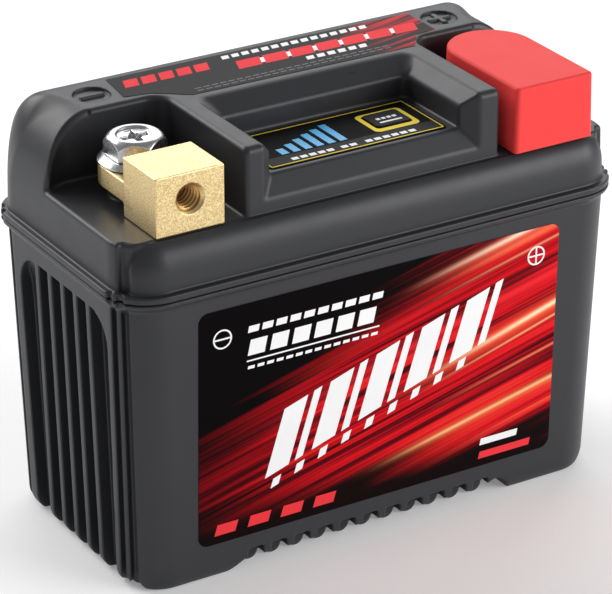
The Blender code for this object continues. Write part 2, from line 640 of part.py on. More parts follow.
def make_wiring():
    """The straps from the outer cells to the posts, the balance board and its ribbon."""
    strap_z0 = TAB_TOP_Z + OUTER_TAB_EXTRA + GAP
    strap_z1 = strap_z0 + STRAP_T
    y_neg, y_pos = cell_y(0), cell_y(CELL_COUNT - 1)
    x = -TERMINAL_X
    outline = [(-24.0, y_neg - 3.0), (-24.0, y_neg + 3.0), (x + 5.0, y_neg + 6.0), (x + 5.0, SCREW_Y + 5.0),
               (x - 5.0, SCREW_Y + 5.0), (x - 5.0, y_neg - 3.0)]
    plate("negative_strap", outline, strap_z0, strap_z1, "copper")
    x = TERMINAL_X
    outline = [(x + 5.0, SCREW_Y - 5.0), (x + 5.0, y_pos + 3.5), (-36.0, y_pos + 3.5), (-36.0, y_pos - 3.0),
               (x - 5.0, y_pos - 3.0), (x - 5.0, SCREW_Y - 5.0)]
    plate("positive_strap", outline, strap_z0, strap_z1, "copper")
    board_z = strap_z1 + GAP
    plate("balance_board", even_rect(24.0, 16.0, 1.5, 2), board_z, board_z + BOARD_T, "board_green")
    make_ribbon(board_z + BOARD_T)


def make_ribbon(start_z):
    """The flat cable from the balance board up to the gauge board."""
    end_z = GAUGE_BOARD_Z0 - GAP
    y0, y1, half_t = 2.0, -8.0, 0.4
    rings = []
    steps = 12
    for i in range(steps + 1):
        t = i / steps
        y = y0 + (y1 - y0) * (3 * t * t - 2 * t * t * t)
        z = start_z + GAP + (end_z - start_z - GAP) * t
        front, back = y - half_t, y + half_t
        rings.append([(-3.0, front, z), (3.0, front, z), (3.0, back, z), (-3.0, back, z)])
    loft("gauge_ribbon", rings, "ribbon_grey")


def make_labels():
    """The film in the front recess and the film on top of the ridge."""
    back = LABEL_SEAT - GAP / 2
    label_slab("front_label", 0.0, back, back - LABEL_T, "label_red")
    low_z = TOP_Z + TOP_LABEL_LIFT
    box("top_label", (TOP_LABEL_X0, TOP_LABEL_Y0, low_z), (TOP_LABEL_X1, TOP_LABEL_Y1, low_z + TOP_LABEL_T),
        "label_red")


def main():
    clear_scene()
    make_case()
    make_cover()
    make_labels()
    for side in (-1, 1):
        make_terminal(side)
        make_washer(side)
        make_screw(side)
        make_post(side)
    make_cap()
    make_gauge()
    make_button()
    make_cells()
    make_wiring()


main()
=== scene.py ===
"""Looks of a small lithium motorcycle battery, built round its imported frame.

Lengths are millimetres, except where a Blender call needs metres: the factor MM converts.
The front is -Y and the bare terminal is at -X. The moulded and machined pieces are modelled as
distance fields, negative inside the piece, so that every edge can have a fillet. skin() turns
a field into a mesh, and true_normals() shades it with the field's own slope.
"""
import math

import bmesh
import bpy
import numpy as np
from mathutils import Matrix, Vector
from numpy import clip, hypot, maximum, minimum, where


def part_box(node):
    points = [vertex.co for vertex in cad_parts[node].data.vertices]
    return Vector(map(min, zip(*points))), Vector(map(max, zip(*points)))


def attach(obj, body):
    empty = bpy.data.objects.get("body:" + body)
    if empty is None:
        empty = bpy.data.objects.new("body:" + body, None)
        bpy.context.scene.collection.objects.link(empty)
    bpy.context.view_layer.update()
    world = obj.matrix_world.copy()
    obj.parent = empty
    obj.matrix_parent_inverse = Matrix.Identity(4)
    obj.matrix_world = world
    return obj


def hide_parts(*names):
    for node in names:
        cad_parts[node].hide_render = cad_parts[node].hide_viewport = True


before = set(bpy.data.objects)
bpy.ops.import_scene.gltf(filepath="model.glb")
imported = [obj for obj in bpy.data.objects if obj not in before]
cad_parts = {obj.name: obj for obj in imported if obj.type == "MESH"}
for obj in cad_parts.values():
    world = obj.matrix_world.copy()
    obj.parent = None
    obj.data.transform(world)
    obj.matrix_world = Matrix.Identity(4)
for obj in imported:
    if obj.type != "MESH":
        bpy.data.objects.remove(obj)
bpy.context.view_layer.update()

MM = 0.001


def node_box(name):
    """Lowest and highest corner of a CAD node, in millimetres."""
    low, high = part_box(name)
    return np.array(low) / MM, np.array(high) / MM


# ---- driving dimensions, read from the frame ----
CASE_HIGH = node_box("case")[1]
COVER_LOW, COVER_HIGH = node_box("cover")
FLANGE_X, FLANGE_Y = CASE_HIGH[0], CASE_HIGH[1]
LIP = 1.25                               # how far the flange stands out of the wall
WALL_X, WALL_Y = FLANGE_X - LIP, FLANGE_Y - LIP
SEAM_LOW, SEAM_HIGH = CASE_HIGH[2], COVER_LOW[2]
TOP_Z = COVER_HIGH[2]
BLOCK_LOW, BLOCK_HIGH = node_box("negative_terminal")
TERMINAL_X = -(BLOCK_LOW[0] + BLOCK_HIGH[0]) / 2
DECK_Z = BLOCK_LOW[2] - 0.04             # the floor of the bays, just under the blocks
WASHER_LOW, WASHER_HIGH = node_box("negative_washer")
SHANK_LOW_Z = node_box("negative_screw")[0][2]
SCREW_Y = (WASHER_LOW[1] + WASHER_HIGH[1]) / 2
CAP_LOW, CAP_HIGH = node_box("positive_cap")
LABEL_LOW, LABEL_HIGH = node_box("front_label")
FILM_LOW, FILM_HIGH = node_box("gauge_overlay")
FILM_FROM = FILM_LOW[:2] + (-0.8, 0.35)   # the film reaches further left and back than its CAD node
FILM_TO = FILM_HIGH[:2] + (0.1, 0.9)
BUTTON_LOW, BUTTON_HIGH = node_box("test_button")
TOP_LABEL_LOW, TOP_LABEL_HIGH = node_box("top_label")
TRAY_Z = FILM_HIGH[2] - 0.15             # the floor of the gauge tray

# ---- the case's own form ----
CORNER_R = 8.0
WALL_SLOTS = ((12.5, 1.35, 1.4), (31.0, 1.55, 1.4))   # degrees round the corner, width, depth
RIM_SLOTS = ((15.0, 0.9, 0.8), (29.4, 1.3, 0.8))
DRAFT = math.tan(math.radians(1.5))
FOOT_TALL, FOOT_DEEP, FOOT_END_DEEP = 3.0, 1.1, 2.3   # the elliptical edge round the foot
FLANGE_UNDER_Z, FLANGE_UNDER_SLOPE = 57.4, 0.9
RIM_TOP_Z, COVER_RIM_Z, COVER_RIM_TOP_Z = 59.2, 59.42, 60.65
WALL_T, SHELL_T = 3.8, 2.0               # end walls with their grooves, and all other walls
CASE_FLOOR_Z = 4.2
OPEN_MARGIN = 4.0                        # a cutting tool runs this far past an open edge
# Grooves in the ends. The hindmost one runs out at its top over SWEEP_TALL.
RIB_PITCH, RIB_W, RIB_DEPTH, RIB_LAST, RIB_MID_Y = 4.9, 1.5, 2.5, 2, -0.5
PANEL_HALF, PANEL_TOP_Z, PANEL_CORNER_R, SWEEP_TALL = 17.1, 54.0, 6.5, 8.5
# Runners under the front and back walls, with a pocket before each, and the feet beside them.
LOBE_PITCH, LOBE_LAST, LOBE_MID_X, LOBE_R, LOBE_BACK = 4.97, 5, -1.3, 1.9, 2.3
POCKET_W, POCKET_Z = 3.3, 4.0
RAISED_Z, FOOT_LEFT_X, FOOT_SLOPE = 2.1, -31.7, 1.6
ARCH_X, ARCH_Z, ARCH_R = 27.2, 0.2, 2.95

# ---- the cover's own form ----
COVER_LEAN = 0.5                         # how far its walls lean in by the top
# The ridge is the high back part, and the block between the bays carries the gauge tray.
RIDGE_END_DEEP, RIDGE_END_TALL, RIDGE_BACK_R, RIDGE_FRONT_Y = 10.5, 17.0, 7.5, 7.3
BAY_INNER_R, BAY_OUTER_R = 3.5, 6.0
BLOCK_X, BLOCK_SHIFT, BLOCK_Y = 26.9, 0.35, -22.7
# The bolster is the round front edge that runs from corner to corner.
BOLSTER_X, BOLSTER_BACK_Y, BOLSTER_END_R = 50.2, -20.5, 4.3
BOLSTER_DEEP, BOLSTER_TALL = 3.6, 6.0
POST_DEEP = 5.2                          # the end walls' front ends stand this far behind the front
FORWARD = 60.0                           # far past the front, where no wall is wanted
TRAY_X, TRAY_BACK_Y, TRAY_FRONT_Y, TRAY_OPEN_Y = 20.0, -2.1, -19.8, -24.4
CHAMFER, BACK_CHAMFER, APRON_SLOPE = 2.8, 1.5, 1.256
WINDOW_MID, WINDOW_HALF, WINDOW_LOW_Z = (0.7, -10.3), (15.7, 5.1), 68.0   # under the gauge film
BOSS_R, BOSS_HOLE_R, BOSS_LOW_Z, BOSS_TOP_Z = 4.9, 3.6, 64.45, 72.15   # under each terminal's tab
MARK_X, MARK_Y, MARK_R, MARK_DEEP = 37.6, 13.6, 3.5, 0.55
SIGN_REACH, SIGN_HALF = 2.4, 0.55

# ---- the terminals' own form ----
THREAD_PITCH, THREAD_DEEP = 1.0, 0.6
BOLT_Z, BOLT_R, BOLT_DEPTH = 76.0, 2.68, 10.0
BLOCK_BACK_Y, BLOCK_SPARE = -11.2, 0.15
TAB_R, TAB_LOW_Z, TAB_HIGH_Z, TAB_FRONT_Y = 6.75, 72.2, 76.2, -14.0
WASHER_R, WASHER_Z, WASHER_T, WASHER_HOLE_R = 6.9, 76.25, 1.15, 2.75
HEX_FLAT, HEAD_TOP_Z, HEAD_CROWN_R, HEAD_CONE_R = 5.0, 81.25, 4.15, 5.1
DISH_R, DISH_DEEP = 3.55, 0.55
CROSS_HALF, CROSS_REACH, CROSS_WELL_R, CROSS_DEEP = 0.72, 3.1, 1.35, 3.2
SHANK_R, SHANK_PITCH, SHANK_THREAD, SHANK_LONG = 2.4, 0.8, 0.4, 11.0


# ---- distance fields ----
def cap_round(a, b, r):
    """Both a and b: their common part, its edge rounded by r."""
    rounded = hypot(maximum(a + r, 0), maximum(b + r, 0))
    return minimum(maximum(a, b), -r) + rounded


def join_round(a, b, r):
    """Either a or b, with a fillet of r in the corner between them."""
    rounded = hypot(maximum(r - a, 0), maximum(r - b, 0))
    return maximum(minimum(a, b), r) - rounded


def cap_ellipse(a, b, reach_a, reach_b):
    """Both a and b, with an elliptical edge reaching reach_a into a and reach_b into b."""
    u = maximum(a / reach_a + 1, 0)
    v = maximum(b / reach_b + 1, 0)
    return where((u > 0) & (v > 0), (hypot(u, v) - 1) * reach_a, maximum(a, b))


def round_corner(u, v, r):
    """A corner of radius r; u and v are measured from the middle of its arc."""
    return hypot(maximum(u, 0), maximum(v, 0)) + minimum(maximum(u, v), 0) - r


def plan_rect(x, y, half_x, half_y, r):
    """A rectangle with round corners, seen from above."""
    return round_corner(abs(x) - half_x + r, abs(y) - half_y + r, r)


def cos_sin(degrees):
    """Cosine and sine of an angle."""
    angle = math.radians(degrees)
    return math.cos(angle), math.sin(angle)


def between(value, low, high):
    """Negative between low and high."""
    return abs(value - (low + high) / 2) - (high - low) / 2


def soft_step(value, low, high):
    """Rises smoothly from 0 at low to 1 at high."""
    t = clip((value - low) / (high - low), 0, 1)
    return t * t * (3 - 2 * t)


def notched(x, y, half_x, half_y, r, slots=WALL_SLOTS, edge=0.25):
    """The battery in plan: a round-cornered rectangle with two upright slots in each corner."""
    plain = plan_rect(x, y, half_x, half_y, r)
    u, v = abs(x) - half_x + r, abs(y) - half_y + r
    cut = np.full_like(plain, 9.0)
    for angle, width, depth in slots:
        c, s = cos_sin(angle)
        slot = cap_round(abs(v * c - u * s) - width / 2, r - depth - (u * c + v * s), 0.45)
        cut = minimum(cut, slot)
    return cap_round(plain, -cut, edge)


def flange(x, y):
    """The rim round both shells, in plan."""
    return notched(x, y, FLANGE_X, FLANGE_Y, CORNER_R + LIP, RIM_SLOTS, 0.45)


def case_body(x, y, z):
    """The case's outside, without its flat top edge."""
    draw = (SEAM_LOW - z) * DRAFT
    half_x, half_y = WALL_X - draw, WALL_Y - draw
    ends = soft_step(abs(x), WALL_X - 6, WALL_X - 1)
    foot_deep = FOOT_DEEP + (FOOT_END_DEEP - FOOT_DEEP) * ends
    body = cap_ellipse(notched(x, y, half_x, half_y, CORNER_R), -z, foot_deep, FOOT_TALL)
    plain = plan_rect(x, y, half_x, half_y, CORNER_R)
    slope = FLANGE_UNDER_SLOPE
    under = (FLANGE_UNDER_Z - z + slope * plain) / math.hypot(1, slope)
    rim = cap_round(cap_round(flange(x, y), under, 0.3), z - RIM_TOP_Z, 0.25)
    body = join_round(body, rim, 0.4)
    body = case_end_ribs(body, x, y, z, half_x)
    return case_foot(body, x, y, z, half_y)


def case_end_ribs(body, x, y, z, half_x):
    """Sunk panels on both ends, with upright ribs left standing in them."""
    across = y - RIB_MID_Y
    r = PANEL_CORNER_R
    draw = (SEAM_LOW - z) * DRAFT
    u, v = abs(across) - PANEL_HALF + draw + r, z - PANEL_TOP_Z + r
    panel = round_corner(u, v, r)
    nearest = clip(np.round(across / RIB_PITCH), -RIB_LAST, RIB_LAST)
    rib = abs(across - nearest * RIB_PITCH) - RIB_W / 2
    sunk = cap_round(panel, -rib, 0.15)
    sweep = clip((z - PANEL_TOP_Z) / SWEEP_TALL + 1, 0, 1) ** 2
    fade = RIB_DEPTH * sweep * (across > RIB_LAST * RIB_PITCH)
    sunk = cap_round(sunk, half_x - RIB_DEPTH + fade - abs(x), 0.3)
    return cap_round(body, -sunk, 0.2)


def case_foot(body, x, y, z, half_y):
    """Between the two feet the case stands on round runners with a pocket before each."""
    left = (FOOT_LEFT_X - x + FOOT_SLOPE * z) / math.hypot(1, FOOT_SLOPE)
    raised = maximum(maximum(left, x - ARCH_X), z - RAISED_Z)
    arch = hypot(x - ARCH_X, z - ARCH_Z) - ARCH_R
    body = cap_round(body, -minimum(raised, arch), 0.25)
    nearest = clip(np.round((x - LOBE_MID_X) / LOBE_PITCH), -LOBE_LAST, LOBE_LAST)
    across = x - LOBE_MID_X - nearest * LOBE_PITCH
    back = half_y - LOBE_BACK
    lobe = hypot(across, minimum(z - LOBE_R, 0)) - LOBE_R
    lobe = cap_round(maximum(lobe, z - POCKET_Z), abs(y) - back, 0.9)
    body = join_round(body, lobe, 0.4)
    pocket = cap_round(abs(across) - POCKET_W / 2, z - POCKET_Z, 0.5)
    pocket = cap_round(pocket, back - abs(y), 0.2)
    return cap_round(body, -pocket, 0.25)


def case_field(x, y, z):
    """The whole outside of the case."""
    return maximum(case_body(x, y, z), z - RIM_TOP_Z)


def case_hollow(x, y, z):
    """The room inside the case, open at its top."""
    draw = (SEAM_LOW - z) * DRAFT
    half_x, half_y = WALL_X - WALL_T - draw, WALL_Y - SHELL_T - draw
    room = plan_rect(x, y, half_x, half_y, CORNER_R - SHELL_T)
    return maximum(maximum(room, CASE_FLOOR_Z - z), z - SEAM_LOW - OPEN_MARGIN)


def bay(x, y):
    """In plan, the bay that a terminal stands in: negative inside it."""
    side = abs(x)
    into = clip(side - (WALL_X - BAY_OUTER_R), 0, BAY_OUTER_R * 0.76)
    drop = BAY_OUTER_R - np.sqrt(BAY_OUTER_R ** 2 - into ** 2)
    slope = into / np.sqrt(BAY_OUTER_R ** 2 - into ** 2)
    back = (y - RIDGE_FRONT_Y + drop) / hypot(1, slope)
    return cap_round(back, BLOCK_X - abs(x - BLOCK_SHIFT), BAY_INNER_R)


def tray(x, y, z):
    """The space of the gauge tray, with its chamfered rim and the apron before it."""
    side, rise, ahead = abs(x) - TRAY_X, z - (TOP_Z - CHAMFER), TRAY_FRONT_Y - y
    behind = y - TRAY_BACK_Y
    wide = join_round(side, (side - rise) / math.sqrt(2), 0.5)
    wide = join_round(wide, (side - ahead) / math.sqrt(2), 0.4)
    back = join_round(behind, (behind - BACK_CHAMFER * rise) / math.hypot(1, BACK_CHAMFER), 0.5)
    apron = (TRAY_Z - APRON_SLOPE * ahead - z) / math.hypot(1, APRON_SLOPE)
    floor = join_round(TRAY_Z - z, apron, 0.4)
    space = cap_round(cap_round(wide, back, 1.6), floor, 0.5)
    return maximum(space, TRAY_OPEN_Y - y)


def cover_low_part(x, y, z, outer):
    """The cover up to the deck: end walls with their posts, the bolster and the rim."""
    lean = cover_lean(z)
    half_x, half_y = WALL_X - lean, WALL_Y - lean
    plain = plan_rect(x, y, half_x, half_y, CORNER_R)
    above = z - DECK_Z
    panel = cap_round(plain, -y - (half_y - POST_DEEP), 0.35)
    panel = where(y > 0, notched(x, y, half_x, half_y, CORNER_R), panel)
    recess = cap_round(plain + 1.1, -y - (half_y - 3.0), 1.0)
    core = cap_round(join_round(panel, recess, 0.2), above, 0.8)
    core = where(y > RIDGE_FRONT_Y - 2.0, maximum(core, outer), core)

    past_end = abs(x) - BOLSTER_X
    bolster = cap_round(cap_round(plain, past_end, 0.3), y - BOLSTER_BACK_Y, 0.8)
    bolster = cap_ellipse(bolster, above, BOLSTER_DEEP, BOLSTER_TALL)
    bolster = cap_round(bolster, cap_round(past_end, above, BOLSTER_END_R), 0.12)

    rim = cap_round(flange(x, y), z - COVER_RIM_TOP_Z, 0.3)
    rim = cap_round(rim, COVER_RIM_Z - z, 0.2)
    return join_round(join_round(core, bolster, 0.3), rim, 0.35)


def cover_lean(z):
    """How far the cover's walls lean in at a height."""
    return COVER_LEAN * (z - SEAM_HIGH) / (TOP_Z - SEAM_HIGH)


def ridge_envelope(x, y, z):
    """The cover's walls and top with the ridge's round edges, carried on past the front."""
    lean = cover_lean(z)
    half_x, half_y = WALL_X - lean, WALL_Y - lean
    walls = plan_rect(x, y + FORWARD, half_x, half_y + FORWARD, CORNER_R)
    ends = soft_step((abs(x) - half_x) - (y - half_y), -4, 6)
    deep = RIDGE_BACK_R + (RIDGE_END_DEEP - RIDGE_BACK_R) * ends
    tall = RIDGE_BACK_R + (RIDGE_END_TALL - RIDGE_BACK_R) * ends
    return cap_ellipse(walls, z - TOP_Z, deep, tall)


def cover_body(x, y, z):
    """The cover's outside, without its flat lower edge."""
    outer = ridge_envelope(x, y, z)
    low_part = cover_low_part(x, y, z, outer)
    ahead = minimum(2.0 - y, abs(x - BLOCK_SHIFT) - BLOCK_X - 2.0)
    tower = cap_round(maximum(outer, ahead), BLOCK_Y - y, 1.4)
    tower = maximum(tower, SEAM_HIGH - z)
    bays = cap_round(bay(x, y), DECK_Z - z, 0.7)
    tower = cap_round(tower, -bays, 1.0)
    body = minimum(low_part, tower)
    body = cap_round(body, -tray(x, y, z), 0.35)
    boss = hypot(abs(x) - TERMINAL_X, y - SCREW_Y) - BOSS_R
    return join_round(body, cap_round(boss, between(z, BOSS_LOW_Z, BOSS_TOP_Z), 0.4), 0.5)


def cover_signs(x, y, z):
    """Round sinks with a raised minus (left) and plus (right) in them."""
    side, ahead = abs(x) - MARK_X, y - MARK_Y
    bar = maximum(abs(side) - SIGN_REACH, abs(ahead) - SIGN_HALF)
    upright = maximum(abs(ahead) - SIGN_REACH, abs(side) - SIGN_HALF)
    sign = where(x > 0, minimum(bar, upright), bar)
    mark = maximum(hypot(side, ahead) - MARK_R, -sign)
    return cap_round(mark, TOP_Z - MARK_DEEP - z, 0.15)


def cover_field(x, y, z):
    """The whole outside of the cover, with the seats, holes and signs cut into it."""
    body = maximum(cover_body(x, y, z), COVER_RIM_Z - z)
    hole = hypot(abs(x) - TERMINAL_X, y - SCREW_Y) - BOSS_HOLE_R
    body = cap_round(body, -hole, 0.2)
    film_mid, film_half = (FILM_TO + FILM_FROM) / 2, (FILM_TO - FILM_FROM) / 2 + 0.08
    seat = plan_rect(x - film_mid[0], y - film_mid[1], film_half[0], film_half[1], 0.6)
    window = plan_rect(x - WINDOW_MID[0], y - WINDOW_MID[1], *WINDOW_HALF, 0.8)
    for plan, low_z in ((seat, TRAY_Z - 0.12), (window, WINDOW_LOW_Z)):
        body = maximum(body, -maximum(maximum(plan, low_z - z), z - TRAY_Z - 2))
    return cap_round(body, -cover_signs(x, y, z), 0.2)


def cover_hollow(x, y, z):
    """The room inside the cover, open at its lower edge."""
    return maximum(cover_body(x, y, z) + SHELL_T, SEAM_HIGH - OPEN_MARGIN - z)


# ---- from a field to a mesh ----
CUBE = np.array([(i, j, k) for i in (0, 1) for j in (0, 1) for k in (0, 1)])
CUBE_PAIRS = [(a, b) for a in range(8) for b in range(a + 1, 8)]
CUBE_EDGES = [(a, b) for a, b in CUBE_PAIRS if abs(CUBE[a] - CUBE[b]).sum() == 1]


def ticks(start, *stretches):
    """Grid lines from start on: each stretch is (to, spacing)."""
    lines = []
    for end, spacing in stretches:
        count = max(1, int(round((end - start) / spacing)))
        lines.extend(np.linspace(start, end, count, endpoint=False))
        start = end
    return np.array([*lines, start])


def gradient(field, points, step=0.01):
    """The field's slope along each axis, by central differences."""
    out = np.empty_like(points)
    for axis in range(3):
        shift = np.zeros(3)
        shift[axis] = step
        out[:, axis] = (field(*(points + shift).T) - field(*(points - shift).T)) / (2 * step)
    return out


def settle(field, points, rounds=4, reach=0.3):
    """Move points along the field's gradient until they lie on its surface."""
    for _ in range(rounds):
        slope = gradient(field, points)
        value = field(*points.T)
        length = maximum((slope ** 2).sum(1), 0.05)
        move = -slope * (value / length)[:, None]
        size = maximum(np.linalg.norm(move, axis=1), 1e-9)
        points = points + move * minimum(1, reach / size)[:, None]
    return points


def unbent(x, y, z):
    """Leaves the grid straight."""
    return x, y, z


def follow_draft(x, y, z):
    """Lean the grid's upright lines with the case's walls, so that mouldings sit alike all the way."""
    draw = (SEAM_LOW - z) * DRAFT
    lean_x = clip((abs(x) - 32.0) / 10.0, 0, 1)
    lean_y = clip((abs(y) - 17.9) / 2.0, 0, 1)
    return x - np.sign(x) * draw * lean_x, y - np.sign(y) * draw * lean_y, z


def sample_grid(field, xs, ys, zs, bend):
    """The field's value at every crossing of the grid lines."""
    values = np.empty((len(xs), len(ys), len(zs)), np.float32)
    flat_y, flat_z = np.meshgrid(ys, zs, indexing="ij")
    for i, x in enumerate(xs):
        values[i] = field(*bend(np.full_like(flat_y, x), flat_y, flat_z))
    return values


def number_cells(inside):
    """The cells that the surface runs through, and a grid holding each one's number, or -1."""
    nx, ny, nz = inside.shape
    corners = (inside[i:nx - 1 + i, j:ny - 1 + j, k:nz - 1 + k].astype(np.int8) for i, j, k in CUBE)
    count = sum(corners)
    cells = np.argwhere((count > 0) & (count < 8))
    number = np.full(count.shape, -1, np.int64)
    number[tuple(cells.T)] = np.arange(len(cells))
    return cells, number


def cell_points(values, cells, xs, ys, zs):
    """In each cell the mean of where the surface crosses its edges, and the cell's size."""
    corners = cells[:, None, :] + CUBE[None]
    i, j, k = corners[..., 0], corners[..., 1], corners[..., 2]
    corner_value = values[i, j, k].astype(float)
    corner_point = np.stack([xs[i], ys[j], zs[k]], -1)
    total, weight = np.zeros((len(cells), 3)), np.zeros(len(cells))
    for a, b in CUBE_EDGES:
        va, vb = corner_value[:, a], corner_value[:, b]
        crosses = (va < 0) != (vb < 0)
        t = where(crosses, va / where(va == vb, 1, va - vb), 0)[:, None]
        point = corner_point[:, a] * (1 - t) + corner_point[:, b] * t
        total += where(crosses[:, None], point, 0)
        weight += crosses
    return total / weight[:, None], corner_point[:, 7] - corner_point[:, 0]


def cell_quads(inside, number):
    """A quad round each grid edge that the surface crosses, facing outwards."""
    faces = []
    for axis in range(3):
        step = [int(a == axis) for a in range(3)]
        shape = inside.shape
        here = inside[tuple(slice(0, shape[a] - step[a]) for a in range(3))]
        there = inside[tuple(slice(step[a], None) for a in range(3))]
        crossing = np.argwhere(here != there)
        b, c = (axis + 1) % 3, (axis + 2) % 3
        within_b = (crossing[:, b] > 0) & (crossing[:, b] < shape[b] - 1)
        within_c = (crossing[:, c] > 0) & (crossing[:, c] < shape[c] - 1)
        crossing = crossing[within_b & within_c]
        around = []
        for db, dc in ((-1, -1), (0, -1), (0, 0), (-1, 0)):
            cell = crossing.copy()
            cell[:, b] += db
            cell[:, c] += dc
            around.append(number[tuple(cell.T)])
        quad = np.stack(around, 1)
        outward = here[tuple(crossing.T)]
        quad[~outward] = quad[~outward][:, ::-1]
        faces.append(quad)
    return np.concatenate(faces)


def skin(field, xs, ys, zs, bend=unbent):
    """Points and four-sided faces of the surface where the field is zero."""
    values = sample_grid(field, xs, ys, zs, bend)
    inside = values < 0
    cells, number = number_cells(inside)
    points, size = cell_points(values, cells, xs, ys, zs)
    start = np.stack(bend(*points.T), 1)
    slack = 0.45 * size                  # a point keeps near its own cell
    points = clip(settle(field, start), start - slack, start + slack)
    return points, cell_quads(inside, number)


def placed(name, data):
    """A new object in the scene."""
    thing = bpy.data.objects.new(name, data)
    bpy.context.scene.collection.objects.link(thing)
    return thing


def mesh_object(name, points, faces):
    """A new object from points in millimetres."""
    mesh = bpy.data.meshes.new(name)
    mesh.from_pydata((points * MM).tolist(), [], faces.tolist())
    mesh.validate()
    return placed(name, mesh)


def carve(thing, tools):
    """Cut closed tools out of a closed mesh and keep the result as its own mesh."""
    for tool in tools:
        boolean = thing.modifiers.new("carve", "BOOLEAN")
        boolean.operation = "DIFFERENCE"
        boolean.solver = "MANIFOLD"
        boolean.object = tool
    graph = bpy.context.evaluated_depsgraph_get()
    made = bpy.data.meshes.new_from_object(thing.evaluated_get(graph))
    thing.modifiers.clear()
    thing.data = made
    for tool in tools:
        bpy.data.objects.remove(tool, do_unlink=True)
    return thing


def read_all(items, key, width, kind=float):
    """One property of every item, end to end."""
    out = np.empty(len(items) * width, kind)
    items.foreach_get(key, out)
    return out


def true_normals(thing, field, near):
    """Shade smooth with the field's own normals; faces that aren't on the field stay flat."""
    mesh = thing.data
    points = read_all(mesh.vertices, "co", 3).reshape(-1, 3) / MM
    slope = gradient(field, points, 0.03)
    slope /= maximum(np.linalg.norm(slope, axis=1), 1e-9)[:, None]
    on_field = abs(field(*points.T)) < near
    mesh.shade_smooth()
    corner = read_all(mesh.loops, "vertex_index", 1, np.int64)
    sizes = read_all(mesh.polygons, "loop_total", 1, np.int64)
    flat = read_all(mesh.polygons, "normal", 3).reshape(-1, 3)
    flat = np.repeat(flat, sizes, axis=0)
    normals = slope[corner]
    agree = (normals * flat).sum(1) > 0.35
    use = on_field[corner] & agree
    normals = where(use[:, None], normals, flat)
    mesh.normals_split_custom_set(normals.tolist())


def merge_flats(thing):
    """Join neighbouring faces that lie in one plane, so that flat walls stay light."""
    bm = bmesh.new()
    bm.from_mesh(thing.data)
    bmesh.ops.dissolve_limit(bm, angle_limit=math.radians(0.03), use_dissolve_boundaries=False,
                             verts=bm.verts[:], edges=bm.edges[:], delimit=set())
    bm.to_mesh(thing.data)
    bm.free()


def moulded(name, field, grid, hollow=None, hollow_grid=None, bend=unbent, near=0.02):
    """A finished piece from its field, with the hollow cut out of it where one is given."""
    points, faces = skin(field, *grid, bend=bend)
    thing = mesh_object(name, points, faces)
    if hollow is not None:
        tool = mesh_object(name + "_tool", *skin(hollow, *hollow_grid))
        carve(thing, [tool])
    merge_flats(thing)
    true_normals(thing, field, near)
    return thing


# ---- materials ----
class Nodes:
    """A short way to build a node material: call a node type with its inputs by name."""

    def __init__(self, name):
        self.material = bpy.data.materials.new(name)
        self.material.use_nodes = True
        self.tree = self.material.node_tree
        self.shader = self.tree.nodes["Principled BSDF"]

    def add(self, kind, inputs=None, **settings):
        node = self.tree.nodes.new("ShaderNode" + kind)
        for key, value in settings.items():
            setattr(node, key, value)
        for key, value in (inputs or {}).items():
            self.feed(node.inputs[key], value)
        return node

    def feed(self, socket, value):
        if isinstance(value, bpy.types.NodeSocket):
            self.tree.links.new(value, socket)
        else:
            socket.default_value = value

    def math(self, operation, a, b=0.0, c=0.0):
        return self.add("Math", {0: a, 1: b, 2: c}, operation=operation).outputs[0]

    def times(self, a, b):
        return self.math("MULTIPLY", a, b)

    def plus(self, a, b):
        return self.math("ADD", a, b)

    def minus(self, a, b):
        return self.math("SUBTRACT", a, b)

    def mix(self, factor, a, b):
        node = self.add("Mix", data_type="RGBA")
        self.feed(node.inputs[0], factor)
        self.feed(node.inputs[6], a)
        self.feed(node.inputs[7], b)
        return node.outputs[2]

    def ramp(self, value, *stops):
        node = self.add("ValToRGB", {0: value})
        elements = node.color_ramp.elements
        while len(elements) < len(stops):
            elements.new(0.5)
        for element, (place, colour) in zip(elements, stops):
            element.position = place
            element.color = colour if len(colour) == 4 else (*colour, 1.0)
        return node.outputs[0]

    def place(self):
        """Position in the frame, in millimetres."""
        texture = self.add("TexCoord")
        scale = self.add("VectorMath", {0: texture.outputs["Object"], 3: 1.0 / MM}, operation="SCALE")
        return scale.outputs[0]

    def axes(self):
        """X, Y and Z of the position in the frame."""
        return self.add("SeparateXYZ", {0: self.place()}).outputs

    def turned(self, a, b, angle):
        """Two coordinates turned by an angle: the distance along the new axis and across it."""
        c, s = math.cos(angle), math.sin(angle)
        along = self.plus(self.times(a, c), self.times(b, s))
        across = self.minus(self.times(b, c), self.times(a, s))
        return along, across

    def rise(self, value, start, end, low=0.0, high=1.0, smooth=True):
        """Low before start, high after end, and a ramp between them."""
        kind = "SMOOTHSTEP" if smooth else "LINEAR"
        inputs = {0: value, 1: start, 2: end, 3: low, 4: high}
        return self.add("MapRange", inputs, interpolation_type=kind).outputs[0]

    def noise(self, vector, scale, detail=3.0, roughness=0.5):
        node = self.add("TexNoise", {"Vector": vector, "Scale": scale, "Detail": detail,
                                     "Roughness": roughness})
        return node.outputs["Fac"]

    def bump(self, height, strength, distance):
        node = self.add("Bump", {"Height": height, "Strength": strength, "Distance": distance * MM})
        self.feed(self.shader.inputs["Normal"], node.outputs[0])

    def set(self, **values):
        for key, value in values.items():
            self.feed(self.shader.inputs[key.replace("_", " ")], value)


def grey(level):
    """A grey colour with full alpha."""
    return (level, level, level, 1.0)


